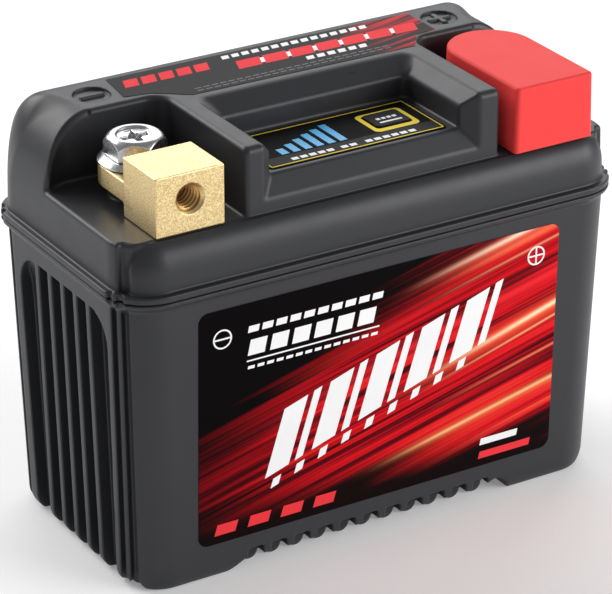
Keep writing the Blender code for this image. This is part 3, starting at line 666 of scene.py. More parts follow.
def plastic(name, dark, light, roughness, grain=0.5, bump=0.05, shine=0.5):
    """Moulded plastic: slight mottling, fine grain and a roughness that wanders."""
    m = Nodes(name)
    place = m.place()
    mottle = m.noise(place, 0.09, 3.0)
    fine = m.noise(place, grain * 8, 2.0)
    m.set(Base_Color=m.mix(mottle, (*dark, 1.0), (*light, 1.0)))
    spread = m.math("MULTIPLY_ADD", m.noise(place, 0.25, 4.0), 0.10, roughness - 0.05)
    m.set(Roughness=spread, Specular_IOR_Level=shine)
    m.bump(fine, bump, 0.05)
    return m.material


def metal(name, dark, light, roughness, speckle, bump, depth=0.05):
    """Metal with a blasted or plated surface: speckles in colour, roughness and height."""
    m = Nodes(name)
    place = m.place()
    spots = m.noise(place, speckle, 3.0, 0.6)
    sharp = m.ramp(spots, (0.35, grey(0.0)), (0.65, grey(1.0)))
    m.set(Base_Color=m.mix(sharp, (*dark, 1.0), (*light, 1.0)), Metallic=1.0)
    m.set(Roughness=m.math("MULTIPLY_ADD", spots, 0.2, roughness - 0.1))
    m.bump(spots, bump, depth)
    return m.material


def painted_thread_shading(m, axes):
    """Painted shade and light along the thread: dark in its roots, lit gold on its crests, and how much
    of it shows at each place.
    """
    centre = m.times(m.math("SIGN", axes[0]), TERMINAL_X)
    side = m.minus(axes[0], centre)
    up = m.minus(axes[2], BOLT_Z)
    inward = m.minus(axes[1], BLOCK_LOW[1])
    squares = m.plus(m.times(side, side), m.times(up, up))
    from_axis = m.math("SQRT", squares)
    within = m.rise(from_axis, BOLT_R + 0.05, BOLT_R - 0.15, smooth=False)
    behind = m.rise(inward, 0.15, 0.4, smooth=False)
    around = m.math("DIVIDE", m.math("ARCTAN2", up, side), 2 * math.pi)
    turns = m.minus(m.math("DIVIDE", inward, THREAD_PITCH), around)
    crest = m.math("PINGPONG", turns, 0.5)
    # painted shade in the thread's roots, painted light on its crests
    root_and_crest_shading = m.ramp(crest, (0.10, (0.16, 0.065, 0.015)), (0.45, (0.98, 0.62, 0.25)))
    return root_and_crest_shading, m.times(within, behind)


def blasted_brass():
    """Brass with a sandy grain, with painted shade in the roots of its thread."""
    m = Nodes("blasted_brass")
    grain = m.noise(m.place(), 4.2, 3.0, 0.65)
    sharp = m.ramp(grain, (0.36, grey(0.0)), (0.64, grey(1.0)))
    plain = m.mix(sharp, (0.58, 0.40, 0.155, 1.0), (0.95, 0.78, 0.45, 1.0))
    thread, amount = painted_thread_shading(m, m.axes())
    # the painted thread shade and light are mixed over the plain brass inside the bore
    m.set(Base_Color=m.mix(amount, plain, thread), Metallic=1.0)
    m.set(Roughness=m.math("MULTIPLY_ADD", grain, 0.2, 0.29))
    m.bump(grain, 0.55, 0.07)
    return m.material


STREAK_ANGLE = math.radians(14.0)
LABEL_MID = (LABEL_LOW + LABEL_HIGH) / 2
NIGHT, SOOT, EMBER = (0.0015, 0.0008, 0.001, 1.0), (0.006, 0.002, 0.002, 1.0), (0.004, 0.0005, 0.001, 1.0)
# Bright streaks: height above the label's middle, tilt, width, where they start and end, colour.
BRIGHT_STREAKS = (
    (16.0, -0.02, 1.1, 4.0, 34.0, (0.86, 0.13, 0.07)),
    (16.2, -0.02, 0.5, 8.0, 34.0, (1.0, 0.74, 0.52)),
    (13.6, 0.0, 0.7, 10.0, 40.0, (0.95, 0.15, 0.07)),
    (11.2, 0.0, 0.3, 8.0, 40.0, (0.95, 0.22, 0.12)),
    (4.0, 0.0, 1.2, -42.0, 30.0, (0.86, 0.02, 0.03)),
    (-4.6, 0.05, 1.6, -4.0, 38.0, (0.92, 0.10, 0.04)),
    (-4.4, 0.05, 0.5, 4.0, 38.0, (1.0, 0.80, 0.48)),
    (-6.6, 0.04, 0.25, 4.0, 36.0, (1.0, 0.36, 0.18)),
    (-17.2, -0.02, 0.9, -14.0, 14.0, (0.90, 0.17, 0.06)),
    (-17.1, -0.02, 0.3, -8.0, 12.0, (1.0, 0.52, 0.25)),
    (-11.0, 0.0, 0.3, 6.0, 34.0, (0.95, 0.15, 0.08)),
    (-21.5, -0.02, 0.3, 10.0, 36.0, (0.80, 0.08, 0.04)),
)


def streak_noise(m, along, across, stretch, fineness, seed, detail=2.0):
    """Noise drawn out along the streaks."""
    inputs = {0: m.times(along, stretch), 1: m.times(across, fineness), 2: seed}
    return m.noise(m.add("CombineXYZ", inputs).outputs[0], 1.0, detail, 0.55)


def bright_streak(m, along, across, streak, base):
    """One bright streak over the base colour: a soft line that grows from its start to its end."""
    centre, tilt, width, start, end, colour = streak
    middle = m.math("MULTIPLY_ADD", along, tilt, centre)
    off = m.math("DIVIDE", m.minus(across, middle), width)
    line = m.math("EXPONENT", m.times(m.times(off, off), -1.0))
    amount = m.times(line, m.rise(along, start, end))
    return m.mix(amount, base, (*colour, 1.0))


def streak_label():
    """Gloss film printed with streaks of red light that rise to the right out of black."""
    m = Nodes("streaked_film")
    axes = m.axes()
    x = m.minus(axes[0], LABEL_MID[0])
    z = m.minus(axes[2], LABEL_MID[2])
    along, across = m.turned(x, z, STREAK_ANGLE)
    broad = streak_noise(m, along, across, 0.012, 0.16, 3.1, 1.5)
    middle = streak_noise(m, along, across, 0.010, 0.55, 7.7)
    fine = streak_noise(m, along, across, 0.014, 1.6, 1.3)
    level = m.plus(m.times(broad, 0.50), m.times(middle, 0.50))
    level = m.plus(level, m.times(m.minus(fine, 0.5), 0.34))
    colour = m.ramp(level, (0.37, (0.020, 0.001, 0.002)), (0.44, (0.13, 0.002, 0.006)),
                    (0.50, (0.46, 0.004, 0.010)), (0.57, (0.74, 0.008, 0.014)),
                    (0.70, (0.86, 0.050, 0.035)))
    for streak in BRIGHT_STREAKS:
        colour = bright_streak(m, along, across, streak, colour)

    # Dark towards the left end, black in the upper left corner and along the lower edge.
    colour = m.mix(m.rise(along, -46.0, -4.0, 0.28, 1.0), EMBER, colour)
    corner = m.minus(across, m.math("MULTIPLY_ADD", along, 0.245, 13.0))
    corner = m.plus(corner, m.times(m.minus(middle, 0.5), 22.0))
    colour = m.mix(m.rise(corner, -7.0, 5.0), colour, NIGHT)
    low = m.plus(z, m.times(x, -0.02))
    low = m.plus(low, m.times(m.minus(broad, 0.5), 12.0))
    colour = m.mix(m.rise(low, -13.0, -21.5), colour, SOOT)
    roughness = m.math("MULTIPLY_ADD", m.noise(m.place(), 0.4), 0.08, 0.34)
    m.set(Base_Color=colour, Roughness=roughness, Specular_IOR_Level=0.04)
    return m.material


def ridge_label():
    """Matt film on the ridge: charcoal, with red streaks towards its right end."""
    m = Nodes("ridge_film")
    axes = m.axes()
    along, across = m.turned(axes[0], axes[1], math.radians(12))
    inputs = {0: m.times(along, 0.02), 1: m.times(across, 0.75)}
    noise = m.noise(m.add("CombineXYZ", inputs).outputs[0], 1.0, 2.0)
    streak = m.ramp(noise, (0.46, grey(0.0)), (0.56, grey(1.0)))
    amount = m.times(streak, m.rise(axes[0], 14.0, 30.0))
    mottle = m.noise(m.place(), 0.2)
    plain = m.mix(mottle, (0.030, 0.030, 0.031, 1.0), (0.037, 0.036, 0.037, 1.0))
    m.set(Base_Color=m.mix(amount, plain, (0.62, 0.030, 0.035, 1.0)))
    m.set(Roughness=0.5, Specular_IOR_Level=0.05)
    return m.material


def ink(name, dark, light, roughness=0.5):
    """Screen-printed ink: a thin, slightly uneven coat."""
    return plastic(name, dark, light, roughness, 1.2, 0.03, shine=0.06)


LOOKS = {}


def build_materials():
    """Fill LOOKS; the colours are the darker and lighter of a material's two tones."""
    m = LOOKS
    case_dark, case_light = (0.025, 0.0258, 0.0305), (0.031, 0.0318, 0.0365)
    m["case"] = plastic("moulded_case", case_dark, case_light, 0.41, shine=0.35)
    m["label"] = streak_label()
    m["ridge"] = ridge_label()
    m["overlay"] = plastic("gauge_film", (0.006, 0.006, 0.007), (0.010, 0.010, 0.011), 0.5, shine=0.02)
    m["overlay_grey"] = ink("dark_grey_ink", (0.022, 0.022, 0.024), (0.028, 0.028, 0.030), 0.5)
    m["grey_ink"] = ink("grey_ink", (0.16, 0.16, 0.165), (0.20, 0.20, 0.205), 0.5)
    m["button"] = plastic("gloss_key", (0.006, 0.006, 0.008), (0.010, 0.010, 0.013), 0.4, shine=0.06)
    m["bar"] = plastic("blue_light_pipe", (0.045, 0.36, 0.70), (0.06, 0.42, 0.78), 0.32)
    m["yellow"] = ink("yellow_ink", (0.82, 0.62, 0.05), (0.90, 0.70, 0.08))
    m["white"] = ink("white_ink", (0.86, 0.86, 0.87), (0.95, 0.95, 0.95))
    m["red_ink"] = ink("red_ink", (0.80, 0.035, 0.045), (0.88, 0.050, 0.060))
    m["brass"] = blasted_brass()
    m["chrome"] = metal("plated_steel", (0.50, 0.50, 0.52), (0.58, 0.58, 0.60), 0.27, 1.2, 0.0, 0.02)
    m["copper"] = metal("bare_copper", (0.60, 0.26, 0.14), (0.82, 0.42, 0.26), 0.34, 0.8, 0.1)
    m["cell"] = metal("cell_foil", (0.55, 0.56, 0.60), (0.70, 0.71, 0.74), 0.34, 0.35, 0.25, 0.12)
    m["cap"] = plastic("red_cap", (0.86, 0.055, 0.053), (0.92, 0.066, 0.062), 0.50, shine=0.12)
    m["foam"] = plastic("foam", (0.10, 0.10, 0.11), (0.19, 0.19, 0.20), 0.92, 0.9, 0.6)
    m["board"] = plastic("circuit_board", (0.012, 0.13, 0.045), (0.020, 0.19, 0.070), 0.36, 1.5, 0.2)
    m["switch"] = plastic("switch_body", (0.022, 0.022, 0.024), (0.034, 0.034, 0.036), 0.45)
    m["ribbon"] = plastic("ribbon_lead", (0.28, 0.29, 0.31), (0.40, 0.41, 0.43), 0.5, 1.4, 0.3)
    m["led"] = plastic("led_package", (0.75, 0.74, 0.66), (0.88, 0.87, 0.80), 0.35)


def dress(thing, look, body, slot, *replaced):
    """Give a piece its material, its body and the nodes it stands for. The slot argument is not used."""
    thing.data.materials.clear()
    thing.data.materials.append(LOOKS[look])
    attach(thing, body)
    if replaced:
        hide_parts(*replaced)


# ---- case and cover ----
EDGE_X, EDGE_Y = FLANGE_X + 0.5, FLANGE_Y + 0.5        # the grids reach this far


def make_case():
    """The grid is fine where there are grooves, runners and slots, and coarse on plain walls."""
    fine = 0.27
    xs = ticks(-EDGE_X, (-45, fine), (-33, 1.0), (31, 0.42), (45, 1.0), (EDGE_X, fine))
    ys = ticks(-EDGE_Y, (-19.9, fine), (-17.9, 0.4), (17.9, 0.35), (19.9, 0.4), (EDGE_Y, fine))
    zs = ticks(-0.5, (5, 0.3), (46, 2.5), (54.2, 0.45), (RIM_TOP_Z + 0.4, 0.3))
    rough = (ticks(-50, (50, 2.5)), ticks(-26, (26, 2.0)), ticks(3, (64, 3.05)))
    case = moulded("case_shell", case_field, (xs, ys, zs), case_hollow, rough, follow_draft)
    dress(case, "case", "battery", "case", "case")


def make_cover():
    """The grid is finest at the corners and along the rim."""
    fine, plain = 0.26, 0.40
    xs = ticks(-EDGE_X, (-45, fine), (-17, 0.44), (17, 1.0), (45, 0.44), (EDGE_X, fine))
    ys = ticks(-EDGE_Y, (-19.5, fine), (-17.5, 0.36), (-6, 0.6), (EDGE_Y, plain))
    zs = ticks(COVER_RIM_Z - 0.4, (61.2, 0.27), (68.4, 0.5), (77, 0.4), (79, 0.6), (TOP_Z + 0.45, 0.33))
    rough = (ticks(-54, (54, 1.3)), ticks(-28, (28, 1.3)), ticks(54, (84, 1.2)))
    cover = moulded("cover_shell", cover_field, (xs, ys, zs), cover_hollow, rough)
    dress(cover, "case", "battery", "case", "cover")


# ---- terminals ----
def thread_wave(along, pitch, a, b):
    """A zigzag between 0 and 1 along a thread, which turns once round a and b per pitch."""
    turn = np.arctan2(b, a) / (2 * math.pi)
    phase = np.mod(along / pitch - turn, 1.0)
    return 1 - abs(2 * phase - 1)


def terminal_field(x, y, z):
    """Brass block with a threaded hole in front and a drilled tab behind, about x = 0."""
    half_x = (BLOCK_HIGH[0] - BLOCK_LOW[0]) / 2 + BLOCK_SPARE
    block = cap_round(abs(x) - half_x, between(y, BLOCK_LOW[1], BLOCK_BACK_Y), 0.22)
    block = cap_round(block, between(z, BLOCK_LOW[2], BLOCK_HIGH[2]), 0.22)
    from_screw = hypot(x, y - SCREW_Y)
    tab = where(y > SCREW_Y, from_screw - TAB_R, abs(x) - TAB_R)
    tab = maximum(tab, TAB_FRONT_Y - y)
    tab = cap_round(tab, between(z, TAB_LOW_Z, TAB_HIGH_Z), 0.3)
    body = cap_round(join_round(block, tab, 0.4), WASHER_HOLE_R - from_screw, 0.15)
    radius, inward = hypot(x, z - BOLT_Z), y - BLOCK_LOW[1]
    wave = thread_wave(inward, THREAD_PITCH, x, z - BOLT_Z)
    bore = radius - BOLT_R + THREAD_DEEP * wave * soft_step(inward, 0.1, 0.5)
    mouth = (radius - BOLT_R - 0.3 + inward) / math.sqrt(2)
    bore = maximum(minimum(bore, mouth), inward - BOLT_DEPTH)
    return maximum(body, -bore * 0.8)


def washer_field(x, y, z):
    """Flat washer with a wide cone on top, as pressed together with the screw."""
    rise = z - WASHER_Z
    radius = hypot(x, y - SCREW_Y)
    cone = radius - WASHER_R + maximum(rise - 0.4, 0) * 1.2
    body = cap_round(cone, between(rise, 0, WASHER_T), 0.14)
    return maximum(body, WASHER_HOLE_R - radius)


def head_recess(x, y, sink):
    """The cross in the head: four arms that narrow as they go down, round a middle well."""
    arm, reach = minimum(abs(x), abs(y)), maximum(abs(x), abs(y))
    cross = cap_round(arm - CROSS_HALF + sink * 0.10, reach - CROSS_REACH + sink * 0.55, 0.2)
    cross = minimum(cross, hypot(x, y) - CROSS_WELL_R + sink * 0.2)
    return maximum(cross, sink - CROSS_DEEP)


def screw_head(x, y, z):
    """Hexagon with a domed, dished top and a cone under it."""
    radius, sink = hypot(x, y), HEAD_TOP_Z - z
    foot = WASHER_Z + WASHER_T + 0.03
    hexagon = abs(x)
    for angle in (60, 120):
        c, s = cos_sin(angle)
        hexagon = maximum(hexagon, abs(x * c + y * s))
    head = cap_round(hexagon - HEX_FLAT, foot - z, 0.2)
    fall = maximum(radius - HEAD_CROWN_R, 0)
    dome = (0.55 * fall ** 2 - sink) / hypot(1, 1.1 * fall)
    head = cap_round(head, dome, 0.12)
    cone = maximum(radius - HEAD_CONE_R + maximum(z - foot, 0) * 1.1, foot - z)
    head = minimum(head, cone)
    dish = cap_round(radius - DISH_R + sink * 0.6, sink - DISH_DEEP, 0.3)
    head = cap_round(head, -dish, 0.2)
    return cap_round(head, -head_recess(x, y, sink), 0.16)


def screw_field(x, y, z):
    """The head and a threaded shank, about x = 0."""
    y = y - SCREW_Y
    wave = thread_wave(z, SHANK_PITCH, x, y) * soft_step(z, 77.0, 76.0)
    shank = (hypot(x, y) - SHANK_R + SHANK_THREAD * wave) * 0.8
    shank = cap_round(shank, SHANK_LOW_Z - z, 0.4)
    shank = maximum(shank, z - SHANK_LOW_Z - SHANK_LONG)
    return join_round(screw_head(x, y, z), shank, 0.15)


def shifted(field, x):
    """The same field with its middle at x."""
    return lambda a, b, c: field(a - x, b, c)


def around(mid, reach, spacing):
    """Even grid lines on both sides of mid."""
    return ticks(mid - reach, (mid + reach, spacing))


def make_block(name, x):
    """The grid is fine at the block's edges and round the thread."""
    edge, thread, plain = 0.2, 0.14, 0.4
    low, high = BLOCK_LOW, BLOCK_HIGH
    xs = ticks(x - 7.3, (x - 6.3, edge), (x - 3.1, plain), (x + 3.1, thread),
               (x + 6.3, plain), (x + 7.3, edge))
    ys = ticks(low[1] - 0.35, (low[1] + 7.0, thread), (BLOCK_BACK_Y - 0.6, plain), (3.9, 0.27))
    zs = ticks(low[2] - 0.35, (low[2] + 0.6, edge), (71.8, plain), (73.0, edge),
               (79.0, thread), (high[2] - 0.6, plain), (high[2] + 0.35, edge))
    block = moulded(name + "_block", shifted(terminal_field, x), (xs, ys, zs))
    dress(block, "brass", "battery", "brass", name + "_terminal")


def make_washer(name, x):
    """The washer under the screw's head."""
    zs = ticks(WASHER_Z - 0.2, (WASHER_Z + WASHER_T + 0.2, 0.1))
    grid = (around(x, 7.1, 0.2), around(SCREW_Y, 7.1, 0.2), zs)
    washer = moulded(name + "_cone_washer", shifted(washer_field, x), grid)
    dress(washer, "chrome", name + "_washer", "chrome", name + "_washer")


def make_screw(name, x):
    """The grid is finest round the head."""
    zs = ticks(SHANK_LOW_Z - 0.3, (77.0, 0.17), (HEAD_TOP_Z + 0.3, 0.13))
    grid = (around(x, 6.1, 0.17), around(SCREW_Y, 6.1, 0.17), zs)
    screw = moulded(name + "_hex_screw", shifted(screw_field, x), grid, near=0.06)
    dress(screw, "chrome", name + "_screw", "chrome", name + "_screw")


def make_terminals():
    """The bare terminal at the left and the same set under the red cap."""
    for name, x in (("negative", -TERMINAL_X), ("positive", TERMINAL_X)):
        make_block(name, x)
        make_washer(name, x)
        make_screw(name, x)


# ---- the red cap ----
CAP_SHIFT, CAP_FLARE, CAP_T = 0.2, 0.12, 0.95


def cap_outer(x, y, z):
    """The cap's outside: straight in front, half round behind, and a little wider at its foot."""
    mid, half = (CAP_LOW[0] + CAP_HIGH[0]) / 2 + CAP_SHIFT, (CAP_HIGH[0] - CAP_LOW[0]) / 2
    flare = CAP_FLARE * (CAP_HIGH[2] - z) / (CAP_HIGH[2] - CAP_LOW[2])
    across, back = abs(x - mid), y - (CAP_HIGH[1] - half)
    plan = where(back > 0, hypot(across, back), across) - half - flare * 2
    plan = cap_round(plan, CAP_LOW[1] + CAP_FLARE - flare - y, 0.9)
    return cap_round(plan, z - CAP_HIGH[2], 0.6)


def cap_field(x, y, z):
    """The cap with its hollow, which is straight near the open foot."""
    inside = cap_outer(x, y, maximum(z, CAP_LOW[2] + 3)) + CAP_T
    body = maximum(cap_outer(x, y, z), CAP_LOW[2] - z)
    return cap_round(body, -inside, 0.2)


def make_cap():
    """The push-on cover; the grid is fine at its foot and its top."""
    low, high = CAP_LOW, CAP_HIGH
    xs = ticks(low[0] - 0.6, (high[0] + 0.9, 0.3))
    ys = ticks(low[1] - 0.4, (high[1] + 0.9, 0.3))
    zs = ticks(low[2] - 0.3, (low[2] + 0.9, 0.3), (high[2] - 2.4, 1.2), (high[2] + 0.4, 0.28))
    cap = moulded("red_terminal_cover", cap_field, (xs, ys, zs))
    dress(cap, "cap", "cap", "cap", "positive_cap")


# ---- films and what is printed on them ----
FILM_T, INK_T = 0.14, 0.025
BAND_BACK_Y = -14.7

# rows of dashes: first corner, width, height, pitch, count, lean and the row's own slope
FRONT_WHITE_HIGH = ((-28.4, 48.9, 2.2, 1.3, 2.9, 10, 0.2, 0.0), (-28.4, 44.3, 3.5, 3.1, 4.6, 6, 0.2, 0.0))
FRONT_WHITE_SMALL = ((-28.4, 41.6, 1.4, 0.6, 2.0, 14, 0.2, 0.0),)
FRONT_WHITE_LOW = ((-23.4, 15.6, 1.7, 1.9, 5.0, 9, 0.3, 0.344), (22.7, 11.7, 8.4, 1.4, 9.0, 1, 0.2, 0.0))
FRONT_RED = ((-35.2, 8.9, 4.4, 2.2, 7.0, 4, 0.3, 0.0), (22.5, 8.8, 11.6, 1.5, 12.0, 1, 0.2, 0.0))
TOP_RED = ((-31.0, 12.9, 2.9, 3.3, 3.7, 5, 0.35, 0.0), (-8.6, 10.2, 5.0, 3.7, 5.7, 7, 0.35, 0.0))
TOP_WHITE = ((-8.9, 15.9, 1.5, 1.5, 2.15, 15, 0.3, 0.0),)
TOP_WHITE_ON_RED = ((-3.4, 10.9, 0.85, 2.2, 5.7, 6, 0.35, 0.0),)
TOP_WHITE_FRONT = ((4.6, 7.7, 1.6, 1.5, 2.3, 6, 0.3, 0.0),)
TOP_GREY = ((-20.4, 5.9, 1.3, 0.35, 1.75, 24, 0.3, 0.0), (-20.4, 4.8, 1.3, 0.35, 1.75, 24, 0.3, 0.0))


def lying_flat(a, b, height):
    """A point of a flat sheet: a is X, b is Y."""
    return (a, b, height)


def on_front(a, b, height):
    """A point on the case's leaning front, `height` in front of it; a is X and b is Z."""
    return (a, -(WALL_Y - (SEAM_LOW - b) * DRAFT) - height, b)


def object_from(bm, name):
    """A new object in the scene from a bmesh, which is freed."""
    mesh = bpy.data.meshes.new(name)
    bm.to_mesh(mesh)
    bm.free()
    return placed(name, mesh)


def band_of_faces(bm, here, there):
    """Faces between two closed rings of as many points."""
    for i in range(len(here)):
        j = (i + 1) % len(here)
        bm.faces.new((here[i], here[j], there[j], there[i]))


def slab(name, outline, low, high, surface=lying_flat):
    """A thin sheet: an outline in two axes, given thickness between two heights of a surface."""
    bm = bmesh.new()
    rings = [[bm.verts.new(Vector(surface(a, b, h)) * MM) for a, b in outline] for h in (low, high)]
    band_of_faces(bm, rings[0], rings[1])
    bm.faces.new(list(reversed(rings[0])))
    bm.faces.new(rings[1])
    bmesh.ops.recalc_face_normals(bm, faces=bm.faces)
    return object_from(bm, name)


def ring_pieces(name, outer, inner, low, high, surface=lying_flat):
    """A closed band between two outlines with the same number of points."""
    bm = bmesh.new()
    loops = [[bm.verts.new(Vector(surface(a, b, h)) * MM) for a, b in line]
             for line, h in ((outer, low), (outer, high), (inner, high), (inner, low))]
    for k in range(4):
        band_of_faces(bm, loops[k], loops[(k + 1) % 4])
    bmesh.ops.recalc_face_normals(bm, faces=bm.faces)
    return object_from(bm, name)


def merge(name, things):
    """Join several objects' meshes into one named object."""
    bm = bmesh.new()
    for thing in things:
        bm.from_mesh(thing.data)
        bpy.data.objects.remove(thing, do_unlink=True)
    return object_from(bm, name)


def round_outline(x0, x1, y0, y1, r, steps=8):
    """A rectangle with rounded corners."""
    points = []
    right, left, front, back = x1 - r, x0 + r, y0 + r, y1 - r
    for cx, cy, start in ((right, front, -90), (right, back, 0), (left, back, 90), (left, front, 180)):
        for i in range(steps + 1):
            angle = math.radians(start + 90 * i / steps)
            points.append((cx + r * math.cos(angle), cy + r * math.sin(angle)))
    return points


def grown_outline(low, high, grow, r, steps=8):
    """The rounded rectangle between two corners, grown by so much on every side."""
    return round_outline(low[0] - grow, high[0] + grow, low[1] - grow, high[1] + grow, r, steps)


def circle(cx, cy, r, steps=40):
    """Points round a circle."""
    turns = [2 * math.pi * i / steps for i in range(steps)]
    return [(cx + r * math.cos(turn), cy + r * math.sin(turn)) for turn in turns]


def slanted_bar(x, z, width, height, lean, rise):
    """A parallelogram standing on a line that rises to the right."""
    return [(x, z), (x + width, z + width * rise), (x + width + height * lean, z + width * rise + height),
            (x + height * lean, z + height)]


def dash_rows(rows, low, high, surface=lying_flat):
    """Plain dashes side by side, in place of lines of lettering."""
    marks = []
    for a, b, width, height, pitch, count, lean, rise in rows:
        for i in range(count):
            outline = slanted_bar(a + i * pitch, b + i * pitch * rise, width, height, lean, rise)
            marks.append(slab("mark", outline, low, high, surface))
    return marks


def sign_marks(x, z, upright, low, high):
    """A ring with a minus in it, or a plus if upright."""
    r, t = 1.7, 0.17
    bars = [((x - r, z - t), (x + r, z + t))]
    if upright:
        bars += [((x - t, z - r), (x + t, z - t)), ((x - t, z + t), (x + t, z + r))]
    marks = [ring_pieces("mark", circle(x, z, 1.95), circle(x, z, 1.62), low, high, on_front)]
    for (x0, z0), (x1, z1) in bars:
        marks.append(slab("mark", [(x0, z0), (x1, z0), (x1, z1), (x0, z1)], low, high, on_front))
    return marks


def rising_bars(low, high):
    """Five pairs of slanted bars, each pair standing higher than the one to its left."""
    rise, pitch = 0.335, 9.9
    marks = []
    for i in range(5):
        x, z = -24.6 + pitch * i, 18.0 + pitch * i * rise
        for start, width in ((0.0, 5.0), (6.3, 1.7)):
            bar = slanted_bar(x + start, z + start * rise, width, 13.4 - 0.3 * i, 0.3, rise)
            marks.append(slab("mark", bar, low, high, on_front))
    return marks


def make_front_label():
    """The case's film, with bars, dashes and signs in place of what is printed."""
    left, right = LABEL_LOW[0] + 0.8, LABEL_HIGH[0] + 0.2
    outline = round_outline(left, right, LABEL_LOW[2] - 0.4, LABEL_HIGH[2] + 0.2, 2.0)
    film = slab("front_label_film", outline, -0.25, FILM_T, on_front)
    dress(film, "label", "battery", "label", "front_label")
    low, high = FILM_T, FILM_T + INK_T
    white = sign_marks(-33.6, 49.0, False, low, high) + sign_marks(33.8, 49.1, True, low, high)
    white += dash_rows(FRONT_WHITE_HIGH, low, high, on_front)
    white.append(slab("mark", round_outline(-28.6, -0.6, 43.1, 43.4, 0.1, 2), low, high, on_front))
    white += dash_rows(FRONT_WHITE_SMALL, low, high, on_front)
    white += rising_bars(low, high)
    white += dash_rows(FRONT_WHITE_LOW, low, high, on_front)
    dress(merge("front_label_white_marks", white), "white", "battery", "label")
    red = dash_rows(FRONT_RED, low, high, on_front)
    dress(merge("front_label_red_marks", red), "red_ink", "battery", "label")


def make_top_label():
    """The ridge's film, with plain bars and dashes in place of the printed lines."""
    left, right, back = TOP_LABEL_LOW[0], TOP_LABEL_HIGH[0], TOP_LABEL_HIGH[1] + 1.0
    outline = [(left, 9.4), (-28.0, 8.4), (-22.0, 3.9), (25.5, 3.4), (29.0, 8.3), (right, 8.6),
               (right, back), (left + 1.2, back)]
    low = TOP_Z + 0.08
    high = low + INK_T
    film = slab("top_label_film", outline, TOP_Z + 0.01, low)
    dress(film, "ridge", "battery", "label", "top_label")
    red = dash_rows(TOP_RED, low, high)
    dress(merge("top_label_red_marks", red), "red_ink", "battery", "label")
    white = dash_rows(TOP_WHITE, low, high) + dash_rows(TOP_WHITE_ON_RED, high, high + INK_T)
    white += dash_rows(TOP_WHITE_FRONT, low, high)
    dress(merge("top_label_white_marks", white), "white", "battery", "label")
    fine = dash_rows(TOP_GREY, low, high)
    dress(merge("top_label_fine_marks", fine), "grey_ink", "battery", "label")


def gauge_film(z0, z1):
    """The tray's film, with a window for each bar and one for the key."""
    film = slab("gauge_film", grown_outline(FILM_FROM, FILM_TO, 0.0, 0.5, 3), z0, z1)
    tools = []
    for number in range(1, 7):
        low, high = node_box("charge_bar_%d" % number)
        tools.append(slab("window_%d" % number, grown_outline(low, high, 0.1, 0.05, 1), z0 - 1, z1 + 1))
    tools.append(slab("key_hole", grown_outline(BUTTON_LOW, BUTTON_HIGH, 0.2, 0.8, 4), z0 - 1, z1 + 1))
    carve(film, tools)
    return film


def make_gauge():
    """The tray's film and its printing: yellow lines, a grey band and white dashes."""
    low = FILM_HIGH[2]
    high = low + INK_T
    film = gauge_film(FILM_LOW[2], low)
    dress(film, "overlay", "battery", "overlay", "gauge_overlay")
    edge, inset = 0.35, 0.61
    outer = grown_outline(FILM_FROM, FILM_TO, -edge, 0.3, 3)
    inner = grown_outline(FILM_FROM, FILM_TO, -inset, 0.2, 3)
    border = ring_pieces("mark", outer, inner, low, high)
    key_left, key_front = BUTTON_LOW[0] - 1.2, BUTTON_LOW[1] - 1.5
    outer = round_outline(key_left, BUTTON_HIGH[0] + 1.1, key_front, BUTTON_HIGH[1] + 0.95, 1.1, 4)
    inner = grown_outline(BUTTON_LOW, BUTTON_HIGH, 0.22, 0.8, 4)
    lines = [border, ring_pieces("mark", outer, inner, low, high)]
    dress(merge("gauge_yellow_lines", lines), "yellow", "battery", "overlay")
    inset += 0.12
    (left, front), right = FILM_FROM, FILM_TO[0]
    band = round_outline(left + inset, right - inset, front + inset, BAND_BACK_Y, 0.2, 3)
    dress(slab("gauge_grey_band", band, low, high), "overlay_grey", "battery", "overlay")
    rows = [(start, front + 1.35, 1.35, 1.0, 1.85, count, 0.0, 0.0)
            for start, count in ((-13.6, 5), (-3.2, 2), (2.0, 6))]
    dashes = dash_rows(rows, high, high + INK_T)
    dress(merge("gauge_white_dashes", dashes), "white", "battery", "overlay")


def make_button():
    """The key: a low cushion with a rounded rim, and the white marks printed on it."""
    mid, half = (BUTTON_LOW + BUTTON_HIGH) / 2, (BUTTON_HIGH - BUTTON_LOW) / 2

    def field(x, y, z):
        plan = plan_rect(x - mid[0], y - mid[1], half[0], half[1], 0.8)
        return cap_round(plan, abs(z - mid[2]) - half[2], 0.22)

    zs = ticks(BUTTON_LOW[2] - 0.25, (BUTTON_HIGH[2] + 0.25, 0.13))
    grid = (around(mid[0], half[0] + 0.3, 0.2), around(mid[1], half[1] + 0.3, 0.2), zs)
    key = moulded("test_key", field, grid)
    dress(key, "button", "button", "button", "test_button")
    low, y = BUTTON_HIGH[2], BUTTON_LOW[1] + 1.2
    high = low + INK_T
    line = round_outline(mid[0] - 2.4, mid[0] + 2.4, y, y + 0.55, 0.2, 3)
    marks = [slab("test_key_line", line, low, high)]
    marks += dash_rows([(mid[0] - 2.2, y + 1.5, 0.8, 0.8, 1.15, 4, 0.0, 0.0)], low, high)
    dress(merge("test_key_marks", marks), "white", "button", "button")


# ---- pieces kept from the frame ----
def dress_frame_nodes():
    """The nodes whose CAD shape is right keep it and get a finished material."""
    looks = {"cell_": "cell", "cell_spacer": "foam", "cell_link": "copper", "base_pad": "foam",
             "front_pad": "foam", "back_pad": "foam", "negative_strap": "copper",
             "positive_strap": "copper", "negative_post": "brass", "positive_post": "brass",
             "balance_board": "board", "gauge_board": "board", "gauge_ribbon": "ribbon",
             "gauge_screw": "chrome", "charge_bar": "bar", "charge_led": "led",
             "test_switch": "switch", "switch_plunger": "switch"}
    for name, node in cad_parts.items():
        match = [key for key in looks if name.startswith(key)]
        if match:
            for place in node.material_slots:
                place.material = LOOKS[looks[max(match, key=len)]]


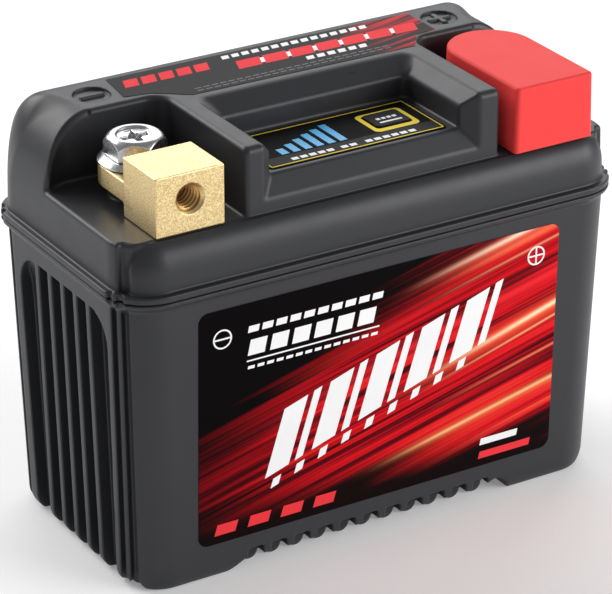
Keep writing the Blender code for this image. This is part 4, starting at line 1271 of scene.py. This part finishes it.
# ---- stage ----
CAMERA_AZIMUTH, CAMERA_ELEVATION = -31.28, 25.59
CAMERA_PLACE = (-0.29955, -0.49232, 0.31425)
CAMERA_LENS = 199.1
FLOOR_SIDE, FLOOR_GLOW, WORLD_GLOW = 3000, 0.2, 0.27
LIGHTS_AIM = Vector((0.0, 0.0, 0.04))
# each light's name, azimuth, elevation, distance, sides and radiance
SOFTBOXES = (("front_right_softbox", 44, 17, 1.2, (0.9, 0.6), 6.6),
             ("back_left_softbox", -157, 32.5, 1.15, (0.8, 0.7), 5.7),
             ("back_right_softbox", 146, 34, 1.15, (1.0, 0.8), 2.2))


def make_floor():
    """A very large pale floor that glows a little, so that it renders white."""
    side = FLOOR_SIDE
    floor = slab("floor", [(-side, -side), (side, -side), (side, side), (-side, side)], -20.0, -0.02)
    m = Nodes("pale_floor")
    tone = m.mix(m.noise(m.place(), 0.004), (0.84, 0.84, 0.84, 1.0), (0.86, 0.86, 0.86, 1.0))
    m.set(Base_Color=tone, Roughness=0.9, Emission_Color=grey(1.0), Emission_Strength=FLOOR_GLOW)
    floor.data.materials.append(m.material)


def softbox(name, azimuth, elevation, distance, size, radiance):
    """A rectangular light aimed at the battery; azimuth 0 is in front of it, 90 at its right."""
    ahead, aside = cos_sin(azimuth)
    level, up = cos_sin(elevation)
    direction = Vector((aside * level, -ahead * level, up))
    light = bpy.data.lights.new(name, "AREA")
    light.shape = "RECTANGLE"
    light.size, light.size_y = size
    light.energy = radiance * math.pi * size[0] * size[1]
    lamp = placed(name, light)
    lamp.location = LIGHTS_AIM + direction * distance
    lamp.rotation_euler = direction.to_track_quat("Z", "Y").to_euler()


def make_world():
    """Even white light from all round."""
    world = bpy.data.worlds.new("studio")
    bpy.context.scene.world = world
    world.use_nodes = True
    background = world.node_tree.nodes["Background"]
    background.inputs["Color"].default_value = grey(1.0)
    background.inputs["Strength"].default_value = WORLD_GLOW


def make_camera():
    """The photo's camera: a long lens from the front and left."""
    camera = bpy.data.cameras.new("camera")
    camera.lens = CAMERA_LENS
    camera.sensor_width = 36.0
    camera.sensor_fit = "HORIZONTAL"
    camera.clip_start, camera.clip_end = 0.01, 20.0
    holder = placed("camera", camera)
    holder.location = CAMERA_PLACE
    holder.rotation_euler = (math.radians(90 - CAMERA_ELEVATION), 0.0, math.radians(CAMERA_AZIMUTH))
    bpy.context.scene.camera = holder


def make_stage():
    """The floor, the lights and the camera; the photo's whites need the Standard transform."""
    make_floor()
    for row in SOFTBOXES:
        softbox(*row)
    make_world()
    make_camera()
    bpy.context.scene.view_settings.view_transform = "Standard"


def main():
    """Build the stage, the materials and every piece."""
    make_stage()
    build_materials()
    make_case()
    make_cover()
    make_terminals()
    make_cap()
    make_front_label()
    make_top_label()
    make_gauge()
    make_button()
    dress_frame_nodes()


main()
